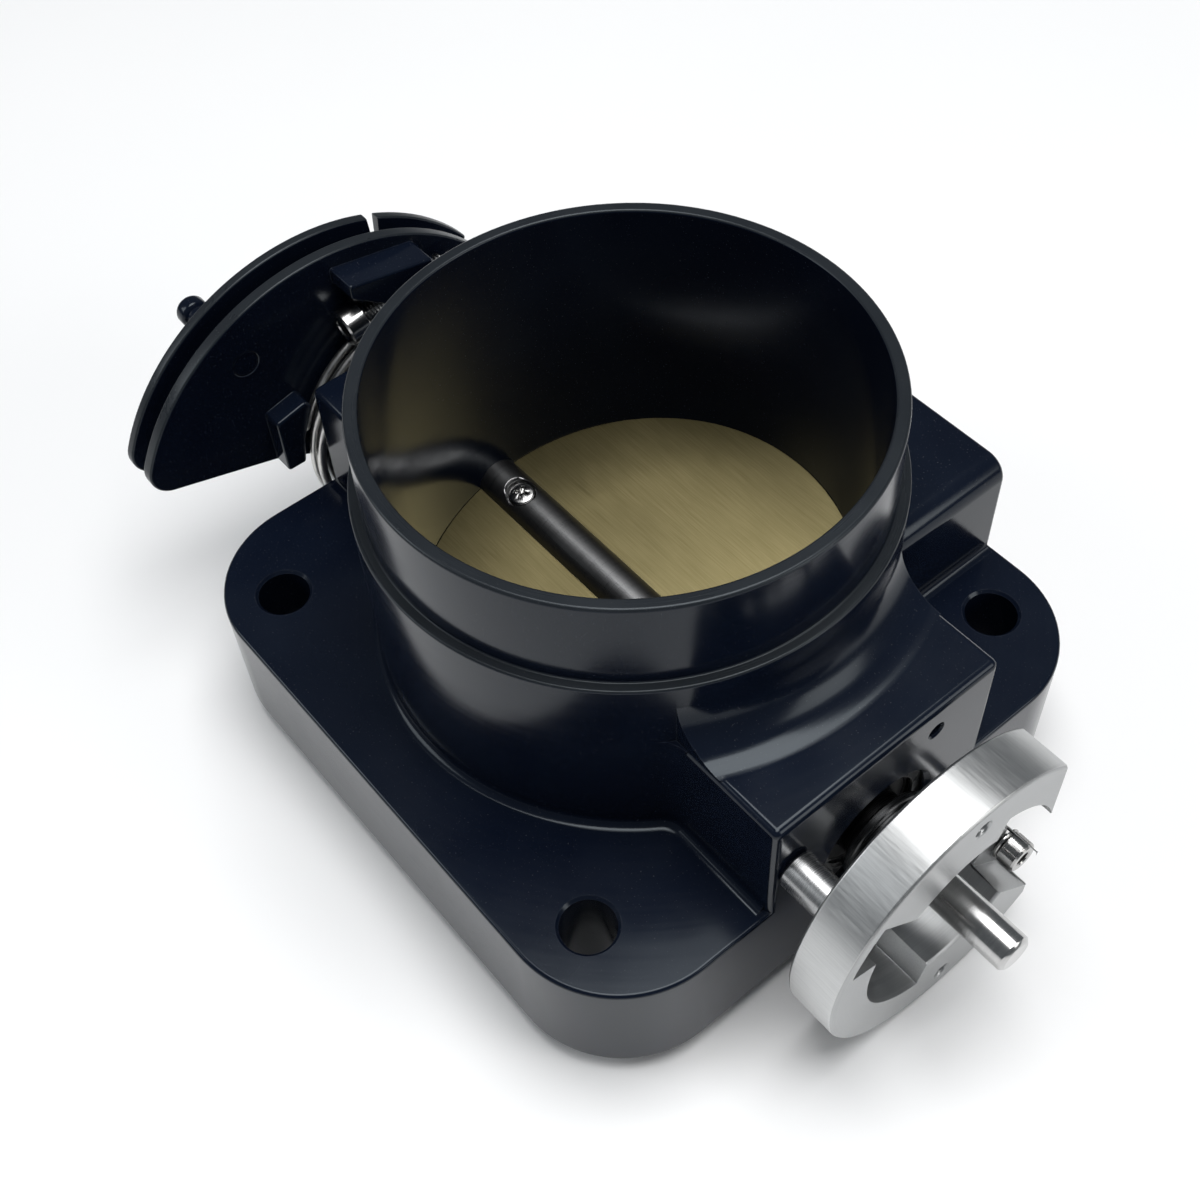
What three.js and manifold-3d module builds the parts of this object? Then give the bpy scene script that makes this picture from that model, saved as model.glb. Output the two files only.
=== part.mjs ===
// A cable-operated throttle body for a large engine: a machined housing with a flanged base and
// a hose neck, a butterfly plate on a ball-bearing shaft, a cable wheel with its return spring on
// one end of the shaft, and a clamped mounting ring for a throttle position sensor on the other.
// Millimetres. +Z runs up the bore, +X along the shaft towards the sensor end. The origin lies on
// the bore axis, level with the lowest point of the sensor ring.
import * as THREE from "three";
import { mergeVertices } from "three/addons/utils/BufferGeometryUtils.js";
import Module from "manifold-3d";

const wasm = await Module();
wasm.setup();

// Housing
const RING_R = 33.2;
const SHAFT_Z = RING_R;
const FLANGE_BOTTOM = 5;
const FLANGE_THICKNESS = 28.5;
const FLANGE_TOP = FLANGE_BOTTOM + FLANGE_THICKNESS;
const FLANGE_HALF_X = 71.25;
const FLANGE_HALF_Y = 67.5;
const FLANGE_CORNER_R = 24;
const BOLT_X = 51.1;
const BOLT_Y = 54.2;
const BOLT_HOLE_R = 5.5;
const EDGE_BREAK = 0.8;
const RIM_Z = 97.7;
const NECK_R = 50.8;
const NECK_LENGTH = 20;
const BARREL_R = 53;
const BARREL_FOOT_FILLET = 1.5;
const RIM_BORE_R = 48;
const BORE_R = 47;
const BORE_STRAIGHT_TOP = 50;
const BOSS_HALF = 28;
const BOSS_TOP = 62;
const BOSS_FACE = FLANGE_HALF_X;
const BOSS_FILLET = 10;
const BLOCK_HALF = 38.5;
const BLOCK_TOP = 59.5;
const BLOCK_EDGE_R = 5;
const O_RING_R = 52;
const O_RING_WIRE_R = 1.3;

// Shaft, bearings and butterfly
const SHAFT_R = 5;
const STUB_R = 4;
const STUB_TIP = 105.8;
const STUB_START = 78;
const CABLE_END = -101;
const BEARING_BORE_R = 13;
const BEARING_WIDTH = 8;
const BEARING_FACE = 68.2;
const RACE_STEP_R = 10.7;
const INNER_RACE_R = 7.3;
const SEAL_FACE = 59;
const SEAL_WIDTH = 4;
const SEAL_R = 9;
const CIRCLIP_R = 14.2;
const PLATE_THICKNESS = 2.5;
const PLATE_TILT = THREE.MathUtils.degToRad(10);
const PLATE_GAP = 0.15;
const PLATE_SCREW_X = 37;

// Sensor ring
const RING_BACK = 81.6;
const RING_THICKNESS = 11;
const RING_FLAT_Y = 22.9;
const RING_HOLE_R = 17.8;
const LOBE_R = 24;
const STANDOFF_CIRCLE_R = 26.4;
const STANDOFF_ANGLES = [150, 330];
const STANDOFF_R = 4;
const POCKET_FLOOR = 3.6;
const SENSOR_SCREW_CIRCLE_R = 28;

// Cable wheel
const WHEEL_FACE = -82.4;
const WHEEL_ARC_R = 52.4;
const WHEEL_ARC_Y = -15.7;
const WHEEL_ARC_Z = SHAFT_Z - 3.6;
const INNER_FLANGE = 3;
const GROOVE_WIDTH = 4.6;
const OUTER_FLANGE = 2.4;
const GROOVE_DEPTH = 6;
const LOW_LUG_FACE = -77.5;
const HUB_R = 14;
const STUD_Y = -36;
const STUD_Z = 66;
const SPRING_R = 28.3;
const SPRING_WIRE_R = 1.05;
const SPRING_TURNS = 2;
const SPRING_START = -45;
const SPRING_LEG_ANGLE = 165;
const SPRING_TURN = 360 * SPRING_TURNS + SPRING_LEG_ANGLE - SPRING_START;
const SPRING_X = [-73, -80.5];
const DRUM_R = 26.4;
const STOP_SCREW_X = -77.9;
const STOP_SCREW_TILT = THREE.MathUtils.degToRad(8);
const STOP_PIN_R = 2;
const STOP_PIN_CIRCLE_R = 18;
const STOP_PIN_ANGLE = 270;
const OPENING_DEGREES = 80;

// ---- Solids from three.js geometry, joined and cut as manifolds ----

function solid(geometry) {
  const bare = geometry.index ? geometry.toNonIndexed() : geometry.clone();
  bare.deleteAttribute("normal");
  bare.deleteAttribute("uv");
  const merged = mergeVertices(bare, 1e-4);
  return new wasm.Manifold(
    new wasm.Mesh({
      numProp: 3,
      vertProperties: new Float32Array(merged.attributes.position.array),
      triVerts: new Uint32Array(merged.index.array),
    }),
  );
}

function geometryOf(manifold) {
  const mesh = manifold.getMesh();
  const geometry = new THREE.BufferGeometry();
  geometry.setAttribute("position", new THREE.BufferAttribute(mesh.vertProperties, 3));
  geometry.setIndex(new THREE.BufferAttribute(mesh.triVerts, 1));
  return geometry;
}

function cut(base, ...tools) {
  return tools.reduce((left, tool) => left.subtract(tool), base);
}

function join(...pieces) {
  return pieces.reduce((whole, piece) => whole.add(piece));
}

function box(x0, x1, y0, y1, z0, z1) {
  const geometry = new THREE.BoxGeometry(x1 - x0, y1 - y0, z1 - z0);
  return solid(geometry.translate((x0 + x1) / 2, (y0 + y1) / 2, (z0 + z1) / 2));
}

// A body turned about the Z axis through the origin; the profile is [radius, z] pairs.
function turnedZ(profile, segments = 32) {
  const points = profile.map(([r, z]) => new THREE.Vector2(r, z));
  const offAxis = profile[0][0] > 0 || profile[profile.length - 1][0] > 0;
  if (offAxis) points.push(points[0].clone());
  if (THREE.ShapeUtils.area(points) < 0) points.reverse();
  return solid(new THREE.LatheGeometry(points, segments).rotateX(Math.PI / 2));
}

// A body turned about the X axis through (y, z); the profile is [radius, x] pairs.
function turnedX(profile, segments = 32, y = 0, z = SHAFT_Z) {
  return turnedZ(profile, segments).rotate([0, 90, 0]).translate([0, y, z]);
}

function discX(radius, x0, x1, y = 0, z = SHAFT_Z, segments = 32) {
  return turnedX([[0, x0], [radius, x0], [radius, x1], [0, x1]], segments, y, z);
}

function discZ(radius, z0, z1, x = 0, y = 0, segments = 32) {
  return turnedZ([[0, z0], [radius, z0], [radius, z1], [0, z1]], segments).translate([x, y, 0]);
}

// An outline drawn in the YZ plane, made into a plate between x0 and x1.
function plateX(outline, x0, x1, curveSegments = 16) {
  const geometry = new THREE.ExtrudeGeometry(outline, {
    depth: x1 - x0,
    bevelEnabled: false,
    curveSegments,
  });
  geometry.applyMatrix4(new THREE.Matrix4().set(0, 0, 1, x0, 1, 0, 0, 0, 0, 1, 0, 0, 0, 0, 0, 1));
  return solid(geometry);
}

function polar(radius, degrees) {
  const angle = THREE.MathUtils.degToRad(degrees);
  return [radius * Math.cos(angle), SHAFT_Z + radius * Math.sin(angle)];
}

const STOP_PIN_CENTRE = polar(STOP_PIN_CIRCLE_R, STOP_PIN_ANGLE);

function roundedRectangle(halfX, halfY, radius) {
  const shape = new THREE.Shape();
  shape.absarc(halfX - radius, halfY - radius, radius, 0, Math.PI / 2);
  shape.absarc(radius - halfX, halfY - radius, radius, Math.PI / 2, Math.PI);
  shape.absarc(radius - halfX, radius - halfY, radius, Math.PI, 1.5 * Math.PI);
  shape.absarc(halfX - radius, radius - halfY, radius, 1.5 * Math.PI, 2 * Math.PI);
  return shape;
}

const throttleBody = new THREE.Group();

const FINISHES = {
  black: { color: 0x1b222c, roughness: 0.28, metalness: 0.75 },
  plate: { color: 0xa89a66, roughness: 0.35, metalness: 1 },
  aluminium: { color: 0xc9cccd, roughness: 0.3, metalness: 1 },
  steel: { color: 0xb8b6b2, roughness: 0.25, metalness: 1 },
  shaft: { color: 0x55565a, roughness: 0.35, metalness: 1 },
  rubber: { color: 0x101112, roughness: 0.7, metalness: 0 },
};

function addPiece(name, manifold, finish) {
  const material = new THREE.MeshStandardMaterial(FINISHES[finish]);
  const mesh = new THREE.Mesh(geometryOf(manifold), material);
  mesh.name = name;
  throttleBody.add(mesh);
}

// ---- Housing: flange, barrel and neck, shaft bosses and the rear block, cut from one billet ----

function flange() {
  const shape = roundedRectangle(
    FLANGE_HALF_X - EDGE_BREAK,
    FLANGE_HALF_Y - EDGE_BREAK,
    FLANGE_CORNER_R - EDGE_BREAK,
  );
  const geometry = new THREE.ExtrudeGeometry(shape, {
    depth: FLANGE_THICKNESS - 2 * EDGE_BREAK,
    bevelThickness: EDGE_BREAK,
    bevelSize: EDGE_BREAK,
    bevelSegments: 1,
    curveSegments: 8,
  });
  return solid(geometry.translate(0, 0, FLANGE_BOTTOM + EDGE_BREAK));
}

function barrelAndNeck() {
  const foot = Array.from({ length: 3 }, (_, i) => {
    const angle = (i / 2) * (Math.PI / 2);
    return [
      BARREL_R + BARREL_FOOT_FILLET * (1 - Math.sin(angle)),
      FLANGE_TOP + BARREL_FOOT_FILLET * (1 - Math.cos(angle)),
    ];
  });
  const ledge = RIM_Z - NECK_LENGTH;
  return turnedZ(
    [
      [0, FLANGE_BOTTOM + 1],
      [BARREL_R, FLANGE_BOTTOM + 1],
      ...foot,
      [BARREL_R, ledge - 0.4],
      [BARREL_R - 0.4, ledge],
      [NECK_R, ledge],
      [NECK_R, RIM_Z - 0.5],
      [NECK_R - 0.5, RIM_Z],
      [0, RIM_Z],
    ],
    64,
  );
}

// A concave fillet between the barrel and the flat top of a shaft boss, as a turned ring.
function bossFillet() {
  const curve = Array.from({ length: 5 }, (_, i) => {
    const angle = (i / 4) * (Math.PI / 2);
    return [
      BARREL_R + BOSS_FILLET * (1 - Math.sin(angle)),
      BOSS_TOP + BOSS_FILLET * (1 - Math.cos(angle)),
    ];
  });
  const inside = BARREL_R - 1;
  const below = BOSS_TOP - 3;
  return turnedZ(
    [[inside, below], [BARREL_R + BOSS_FILLET, below], ...curve, [inside, BOSS_TOP + BOSS_FILLET]],
    64,
  );
}

function bossBlock() {
  const edge = 1.6;
  const outline = new THREE.Shape();
  const bottom = FLANGE_BOTTOM + 2;
  outline.moveTo(-BOSS_HALF, bottom);
  outline.lineTo(BOSS_HALF, bottom);
  outline.lineTo(BOSS_HALF, BOSS_TOP - edge);
  outline.absarc(BOSS_HALF - edge, BOSS_TOP - edge, edge, 0, Math.PI / 2);
  outline.lineTo(edge - BOSS_HALF, BOSS_TOP);
  outline.absarc(edge - BOSS_HALF, BOSS_TOP - edge, edge, Math.PI / 2, Math.PI);
  return plateX(outline, -BOSS_FACE, BOSS_FACE, 4);
}

function rearBlock() {
  const outline = new THREE.Shape();
  const bottom = FLANGE_BOTTOM + 2;
  const shoulder = BLOCK_TOP - BLOCK_EDGE_R;
  outline.moveTo(-BLOCK_HALF, bottom);
  outline.lineTo(BLOCK_HALF, bottom);
  outline.absarc(BLOCK_HALF - BLOCK_EDGE_R, shoulder, BLOCK_EDGE_R, 0, Math.PI / 2);
  outline.absarc(BLOCK_EDGE_R - BLOCK_HALF, shoulder, BLOCK_EDGE_R, Math.PI / 2, Math.PI);
  const geometry = new THREE.ExtrudeGeometry(outline, {
    depth: FLANGE_HALF_Y,
    bevelEnabled: false,
    curveSegments: 4,
  });
  return solid(geometry.rotateX(Math.PI / 2).translate(0, FLANGE_HALF_Y, 0));
}

// Stop post beside the cable wheel, square to the stop screw that rests on it.
const SCREW_DIR = [Math.cos(STOP_SCREW_TILT), Math.sin(STOP_SCREW_TILT)];
const SCREW_HEAD_FACE = [-14.5, SHAFT_Z + 32.2];
const SCREW_HEAD = 5;
const SCREW_LENGTH = 22;

function alongScrew(distance) {
  return [
    SCREW_HEAD_FACE[0] + SCREW_DIR[0] * distance,
    SCREW_HEAD_FACE[1] + SCREW_DIR[1] * distance,
  ];
}

function stopPost() {
  const [y, z] = alongScrew(SCREW_HEAD + SCREW_LENGTH + 0.3);
  const [upY, upZ] = [-SCREW_DIR[1], SCREW_DIR[0]];
  const contactTop = new THREE.Vector2(y - 0.6 * upY, z - 0.6 * upZ);
  const contactFoot = new THREE.Vector2(y - 7 * upY, z - 7 * upZ);
  const backY = contactTop.x + 4.2;
  const lowZ = BOSS_TOP - 3;
  const back = [new THREE.Vector2(backY, contactFoot.y), new THREE.Vector2(backY, contactTop.y)];
  const head = new THREE.Shape([contactFoot, ...back, contactTop]);
  const stem = new THREE.Shape([
    new THREE.Vector2(contactFoot.x, lowZ),
    new THREE.Vector2(backY, lowZ),
    back[1],
    contactTop,
  ]);
  return join(plateX(head, -80.2, -66), plateX(stem, -BOSS_FACE, -64));
}

function shaftTunnel(side) {
  const seat = BEARING_FACE - BEARING_WIDTH - 0.3;
  const profile = [
    [0, BORE_R - 4],
    [SHAFT_R + 0.06, BORE_R - 4],
    [SHAFT_R + 0.06, SEAL_FACE - SEAL_WIDTH - 0.6],
    [SEAL_R + 0.3, SEAL_FACE - SEAL_WIDTH - 0.6],
    [SEAL_R + 0.3, seat],
    [BEARING_BORE_R + 0.3, seat],
    [BEARING_BORE_R + 0.3, BEARING_FACE + 0.2],
    [CIRCLIP_R + 0.3, BEARING_FACE + 0.2],
    [CIRCLIP_R + 0.3, BEARING_FACE + 1.5],
    [CIRCLIP_R - 0.6, BEARING_FACE + 1.5],
    [CIRCLIP_R + 1.4, BOSS_FACE + 1],
    [0, BOSS_FACE + 1],
  ];
  return turnedX(profile.map(([r, x]) => [r, side * x]));
}

function oRingGroove() {
  const half = O_RING_WIRE_R + 0.3;
  const inner = O_RING_R - half;
  const outer = O_RING_R + half;
  const roof = FLANGE_BOTTOM + 2 * half;
  return turnedZ(
    [
      [inner, FLANGE_BOTTOM - 1],
      [outer, FLANGE_BOTTOM - 1],
      [outer, roof],
      [inner, roof],
    ],
    48,
  );
}

function boltHole(x, y) {
  const chamfer = BOLT_HOLE_R + 0.5;
  return turnedZ(
    [
      [0, FLANGE_BOTTOM - 1],
      [BOLT_HOLE_R, FLANGE_BOTTOM - 1],
      [BOLT_HOLE_R, FLANGE_TOP - 0.5],
      [chamfer, FLANGE_TOP],
      [chamfer, FLANGE_TOP + 1],
      [0, FLANGE_TOP + 1],
    ],
    32,
  ).translate([x, y, 0]);
}

function housing() {
  const bossFilletTrim = box(-BOSS_FACE, BOSS_FACE, -BOSS_HALF, BOSS_HALF, BOSS_TOP - 4, RIM_Z);
  const body = join(
    flange(),
    barrelAndNeck(),
    bossBlock(),
    bossFillet().intersect(bossFilletTrim),
    rearBlock(),
    stopPost(),
  );
  const bore = turnedZ(
    [
      [0, FLANGE_BOTTOM - 1],
      [BORE_R, FLANGE_BOTTOM - 1],
      [BORE_R, BORE_STRAIGHT_TOP],
      [RIM_BORE_R, RIM_Z - 0.4],
      [RIM_BORE_R + 0.4, RIM_Z],
      [RIM_BORE_R + 0.4, RIM_Z + 1],
      [0, RIM_Z + 1],
    ],
    64,
  );
  const standoffHoles = STANDOFF_ANGLES.map((angle) => {
    const [y, z] = polar(STANDOFF_CIRCLE_R, angle);
    return discX(2.5, BOSS_FACE - 9, FLANGE_HALF_X + 1, y, z, 16);
  });
  const [spareY, spareZ] = polar(24.6, 60);
  const bolts = [-1, 1].flatMap((sx) => [-1, 1].map((sy) => boltHole(sx * BOLT_X, sy * BOLT_Y)));
  return cut(
    body,
    bore,
    shaftTunnel(1),
    shaftTunnel(-1),
    oRingGroove(),
    discX(1.7, BOSS_FACE - 8, BOSS_FACE + 1, spareY, spareZ, 16),
    discX(2.2, -BOSS_FACE - 1, -BOSS_FACE + 4.5, ...polar(SPRING_R, SPRING_START + 2), 16),
    discX(STOP_PIN_R + 0.3, -BOSS_FACE - 1, -BOSS_FACE + 7, ...STOP_PIN_CENTRE, 16),
    ...standoffHoles,
    ...bolts,
  );
}

addPiece("throttle_housing", housing(), "black");
addPiece(
  "flange_o_ring",
  turnedZ(
    Array.from({ length: 6 }, (_, i) => {
      const angle = (i / 3) * Math.PI;
      return [
        O_RING_R + O_RING_WIRE_R * Math.cos(angle),
        FLANGE_BOTTOM + O_RING_WIRE_R + O_RING_WIRE_R * Math.sin(angle),
      ];
    }),
    48,
  ),
  "rubber",
);

// ---- Shaft bearings: outer race, inner race and a caged row of balls at each end ----

function bearing(side, name) {
  const near = side * (BEARING_FACE - BEARING_WIDTH);
  const far = side * BEARING_FACE;
  const middle = (near + far) / 2;
  const ballCircle = (RACE_STEP_R + INNER_RACE_R) / 2;
  addPiece(
    name + "_bearing_outer_race",
    turnedX([[RACE_STEP_R, near], [BEARING_BORE_R, near], [BEARING_BORE_R, far], [RACE_STEP_R, far]], 28),
    "steel",
  );
  addPiece(
    name + "_bearing_inner_race",
    turnedX([[SHAFT_R + 0.3, near], [INNER_RACE_R, near], [INNER_RACE_R, far], [SHAFT_R + 0.3, far]], 24),
    "steel",
  );
  let balls = turnedX(
    [
      [ballCircle - 0.9, middle - 1],
      [ballCircle + 0.9, middle - 1],
      [ballCircle + 0.9, middle + 1],
      [ballCircle - 0.9, middle + 1],
    ],
    24,
  );
  for (let i = 0; i < 8; i++) {
    const [y, z] = polar(ballCircle, i * 45);
    balls = balls.add(solid(new THREE.SphereGeometry(1.4, 6, 4).translate(middle, y, z)));
  }
  addPiece(name + "_bearing_balls", balls, "steel");
}

// A lip seal behind each bearing and an open circlip in front of it.
function sealAndCirclip(side, name) {
  const face = side * SEAL_FACE;
  const back = side * (SEAL_FACE - SEAL_WIDTH);
  const lip = side * (SEAL_FACE - SEAL_WIDTH / 2);
  addPiece(
    name + "_shaft_seal",
    turnedX([
      [SHAFT_R + 0.3, lip],
      [SHAFT_R + 2, back],
      [SEAL_R, back],
      [SEAL_R, face],
      [SHAFT_R + 2, face],
    ], 20),
    "rubber",
  );
  const near = side * (BEARING_FACE + 0.35);
  const far = side * (BEARING_FACE + 1.35);
  const [gapY, gapZ] = polar(12.5, 250);
  const ring = turnedX([[11.2, near], [CIRCLIP_R, near], [CIRCLIP_R, far], [11.2, far]], 28);
  const gap = discX(3, Math.min(near, far) - 1, Math.max(near, far) + 1, gapY, gapZ, 16);
  addPiece(name + "_circlip", ring.subtract(gap), "steel");
}

for (const [side, name] of [[1, "sensor_side"], [-1, "cable_side"]]) {
  bearing(side, name);
  sealAndCirclip(side, name);
}

// ---- Shaft with its slot, the butterfly plate and its two screws ----

function tilted(manifold) {
  const degrees = THREE.MathUtils.radToDeg(PLATE_TILT);
  return manifold.translate([0, 0, -SHAFT_Z]).rotate([degrees, 0, 0]).translate([0, 0, SHAFT_Z]);
}

function shaft() {
  const blank = turnedX([
    [0, CABLE_END],
    [STUB_R - 0.8, CABLE_END],
    [STUB_R, CABLE_END + 0.8],
    [STUB_R, WHEEL_FACE - 9.6],
    [SHAFT_R, WHEEL_FACE - 9.6],
    [SHAFT_R, STUB_START],
    [STUB_R, STUB_START],
    [STUB_R, STUB_TIP - 1],
    [STUB_R - 1, STUB_TIP],
    [0, STUB_TIP],
  ], 28);
  const slotHalf = PLATE_THICKNESS / 2 + 0.05;
  const slotEnd = BORE_R - 0.5;
  const reach = SHAFT_R + 1;
  const slot = box(-slotEnd, slotEnd, -reach, reach, SHAFT_Z - slotHalf, SHAFT_Z + slotHalf);
  const screwSeats = [-1, 1].map((end) =>
    discZ(3.5, SHAFT_Z + 2.1, SHAFT_Z + reach, end * PLATE_SCREW_X, 0, 24),
  );
  const screwHoles = [-1, 1].map((end) =>
    discZ(1.75, SHAFT_Z - reach, SHAFT_Z + reach, end * PLATE_SCREW_X, 0, 16),
  );
  return cut(blank, tilted(slot), ...screwSeats.map(tilted), ...screwHoles.map(tilted));
}

// The closed plate leans across the bore, so it is the slice of the bore that the leaning slab cuts.
function butterflyPlate() {
  const half = PLATE_THICKNESS / 2;
  const slab = tilted(box(-60, 60, -60, 60, SHAFT_Z - half, SHAFT_Z + half));
  const disc = discZ(BORE_R - PLATE_GAP, FLANGE_BOTTOM, RIM_Z, 0, 0, 64);
  const ends = box(-BORE_R + 0.8, BORE_R - 0.8, -60, 60, 0, RIM_Z);
  const holes = [-1, 1].map((end) =>
    tilted(discZ(1.75, SHAFT_Z - 4, SHAFT_Z + 4, end * PLATE_SCREW_X, 0, 16)),
  );
  return cut(slab.intersect(disc).intersect(ends), ...holes);
}

function plateScrew(end) {
  const seat = SHAFT_Z + 2.4;
  const screw = turnedZ(
    [
      [0, SHAFT_Z - 4.6],
      [1.5, SHAFT_Z - 4.6],
      [1.5, seat],
      [3.1, seat],
      [3.1, seat + 1],
      [2.3, seat + 1.9],
      [0, seat + 2.1],
    ],
    24,
  );
  const recess = join(
    box(-1.5, 1.5, -0.4, 0.4, seat + 0.9, seat + 3),
    box(-0.4, 0.4, -1.5, 1.5, seat + 0.9, seat + 3),
  );
  return tilted(screw.subtract(recess).translate([end * PLATE_SCREW_X, 0, 0]));
}

addPiece("throttle_shaft", shaft(), "shaft");
addPiece("butterfly_plate", butterflyPlate(), "plate");
addPiece("plate_screw_cable_side", plateScrew(-1), "steel");
addPiece("plate_screw_sensor_side", plateScrew(1), "steel");
addPiece(
  "sensor_side_collar",
  turnedX([
    [SHAFT_R + 0.3, BEARING_FACE + 0.3],
    [INNER_RACE_R, BEARING_FACE + 0.3],
    [INNER_RACE_R, BOSS_FACE + 0.6],
    [10, BOSS_FACE + 0.6],
    [10, 76],
    [SHAFT_R + 0.3, 76],
  ], 28),
  "aluminium",
);

// ---- Sensor ring on two standoffs ----

function sector(radius, fromDegrees, toDegrees) {
  const shape = new THREE.Shape();
  const from = THREE.MathUtils.degToRad(fromDegrees);
  const to = THREE.MathUtils.degToRad(toDegrees);
  shape.moveTo(0, SHAFT_Z);
  shape.absarc(0, SHAFT_Z, radius, from, to);
  shape.lineTo(0, SHAFT_Z);
  return shape;
}

function sensorRing() {
  const front = RING_BACK + RING_THICKNESS;
  const ring = turnedX([
    [0, RING_BACK],
    [RING_R - 0.4, RING_BACK],
    [RING_R, RING_BACK + 0.4],
    [RING_R, front - 0.4],
    [RING_R - 0.4, front],
    [0, front],
  ], 64);
  const tools = [
    box(RING_BACK - 1, front + 1, RING_FLAT_Y, RING_R + 1, -1, 2 * RING_R + 1),
    discX(RING_HOLE_R, RING_BACK - 1, front + 1, 0, SHAFT_Z, 64),
  ];
  for (const angle of STANDOFF_ANGLES) {
    tools.push(plateX(sector(LOBE_R, angle + 10, angle + 101), RING_BACK - 1, front + 1));
    tools.push(plateX(sector(30.4, angle - 12, angle + 12), RING_BACK + POCKET_FLOOR, front + 1, 4));
    for (const offset of [-4, 0, 4]) {
      const [slotY, slotZ] = polar(STANDOFF_CIRCLE_R, angle + offset);
      tools.push(discX(2.35, RING_BACK - 1, RING_BACK + POCKET_FLOOR + 1, slotY, slotZ, 16));
    }
  }
  for (const angle of [90, 270]) {
    const [y, z] = polar(SENSOR_SCREW_CIRCLE_R, angle);
    tools.push(discX(1.7, RING_BACK - 1, front + 1, y, z, 16));
  }
  return cut(ring, ...tools);
}

function hexSocket(x0, x1, y, z, radius) {
  return discX(radius, x0, x1, y, z, 6);
}

addPiece("sensor_ring", sensorRing(), "aluminium");
for (const angle of STANDOFF_ANGLES) {
  const [y, z] = polar(STANDOFF_CIRCLE_R, angle);
  const where = angle === STANDOFF_ANGLES[0] ? "upper" : "lower";
  addPiece(
    "standoff_" + where,
    cut(
      discX(STANDOFF_R, FLANGE_HALF_X + 0.3, RING_BACK - 0.3, y, z, 32),
      discX(2.15, FLANGE_HALF_X - 1, RING_BACK + 1, y, z, 16),
    ),
    "aluminium",
  );
  const floor = RING_BACK + POCKET_FLOOR;
  addPiece(
    "ring_washer_" + where,
    turnedX([[2.3, floor + 0.3], [3.6, floor + 0.3], [3.6, floor + 0.9], [2.3, floor + 0.9]], 20, y, z),
    "steel",
  );
  addPiece(
    "ring_screw_" + where,
    cut(
      turnedX([
        [0, BOSS_FACE - 7.5],
        [1.95, BOSS_FACE - 7.5],
        [1.95, floor + 1.1],
        [3.5, floor + 1.1],
        [3.5, floor + 4.7],
        [3.1, floor + 5.1],
        [0, floor + 5.1],
      ], 24, y, z),
      hexSocket(floor + 3.1, floor + 6, y, z, 1.73),
    ),
    "steel",
  );
}

// ---- Cable wheel with its lugs, nut, washer and cable stud ----

// The big arc runs tangent into a rounded corner and on to a straight lower edge, which points
// at the arc's centre; from there the outline drops to the hub.
function wheelOutline(radius, cornerR) {
  const slope = Math.atan2(-8.2, 25.9);
  const reach = Math.sqrt((radius - cornerR) ** 2 - cornerR ** 2);
  const cornerY = WHEEL_ARC_Y - reach * Math.cos(slope) - cornerR * Math.sin(slope);
  const cornerZ = WHEEL_ARC_Z - reach * Math.sin(slope) + cornerR * Math.cos(slope);
  const rightAngle = THREE.MathUtils.degToRad(36);
  const leftAngle = Math.atan2(cornerZ - WHEEL_ARC_Z, cornerY - WHEEL_ARC_Y);
  const shape = new THREE.Shape();
  shape.absarc(WHEEL_ARC_Y, WHEEL_ARC_Z, radius, rightAngle, leftAngle);
  shape.absarc(cornerY, cornerZ, cornerR, leftAngle, Math.PI * 1.5 + slope);
  shape.lineTo(-34.5, SHAFT_Z + 2.35);
  shape.absarc(0, SHAFT_Z, HUB_R, THREE.MathUtils.degToRad(242.3), Math.PI * 2);
  return shape;
}

const WHEEL_BACK = WHEEL_FACE - INNER_FLANGE - GROOVE_WIDTH - OUTER_FLANGE;

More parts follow.
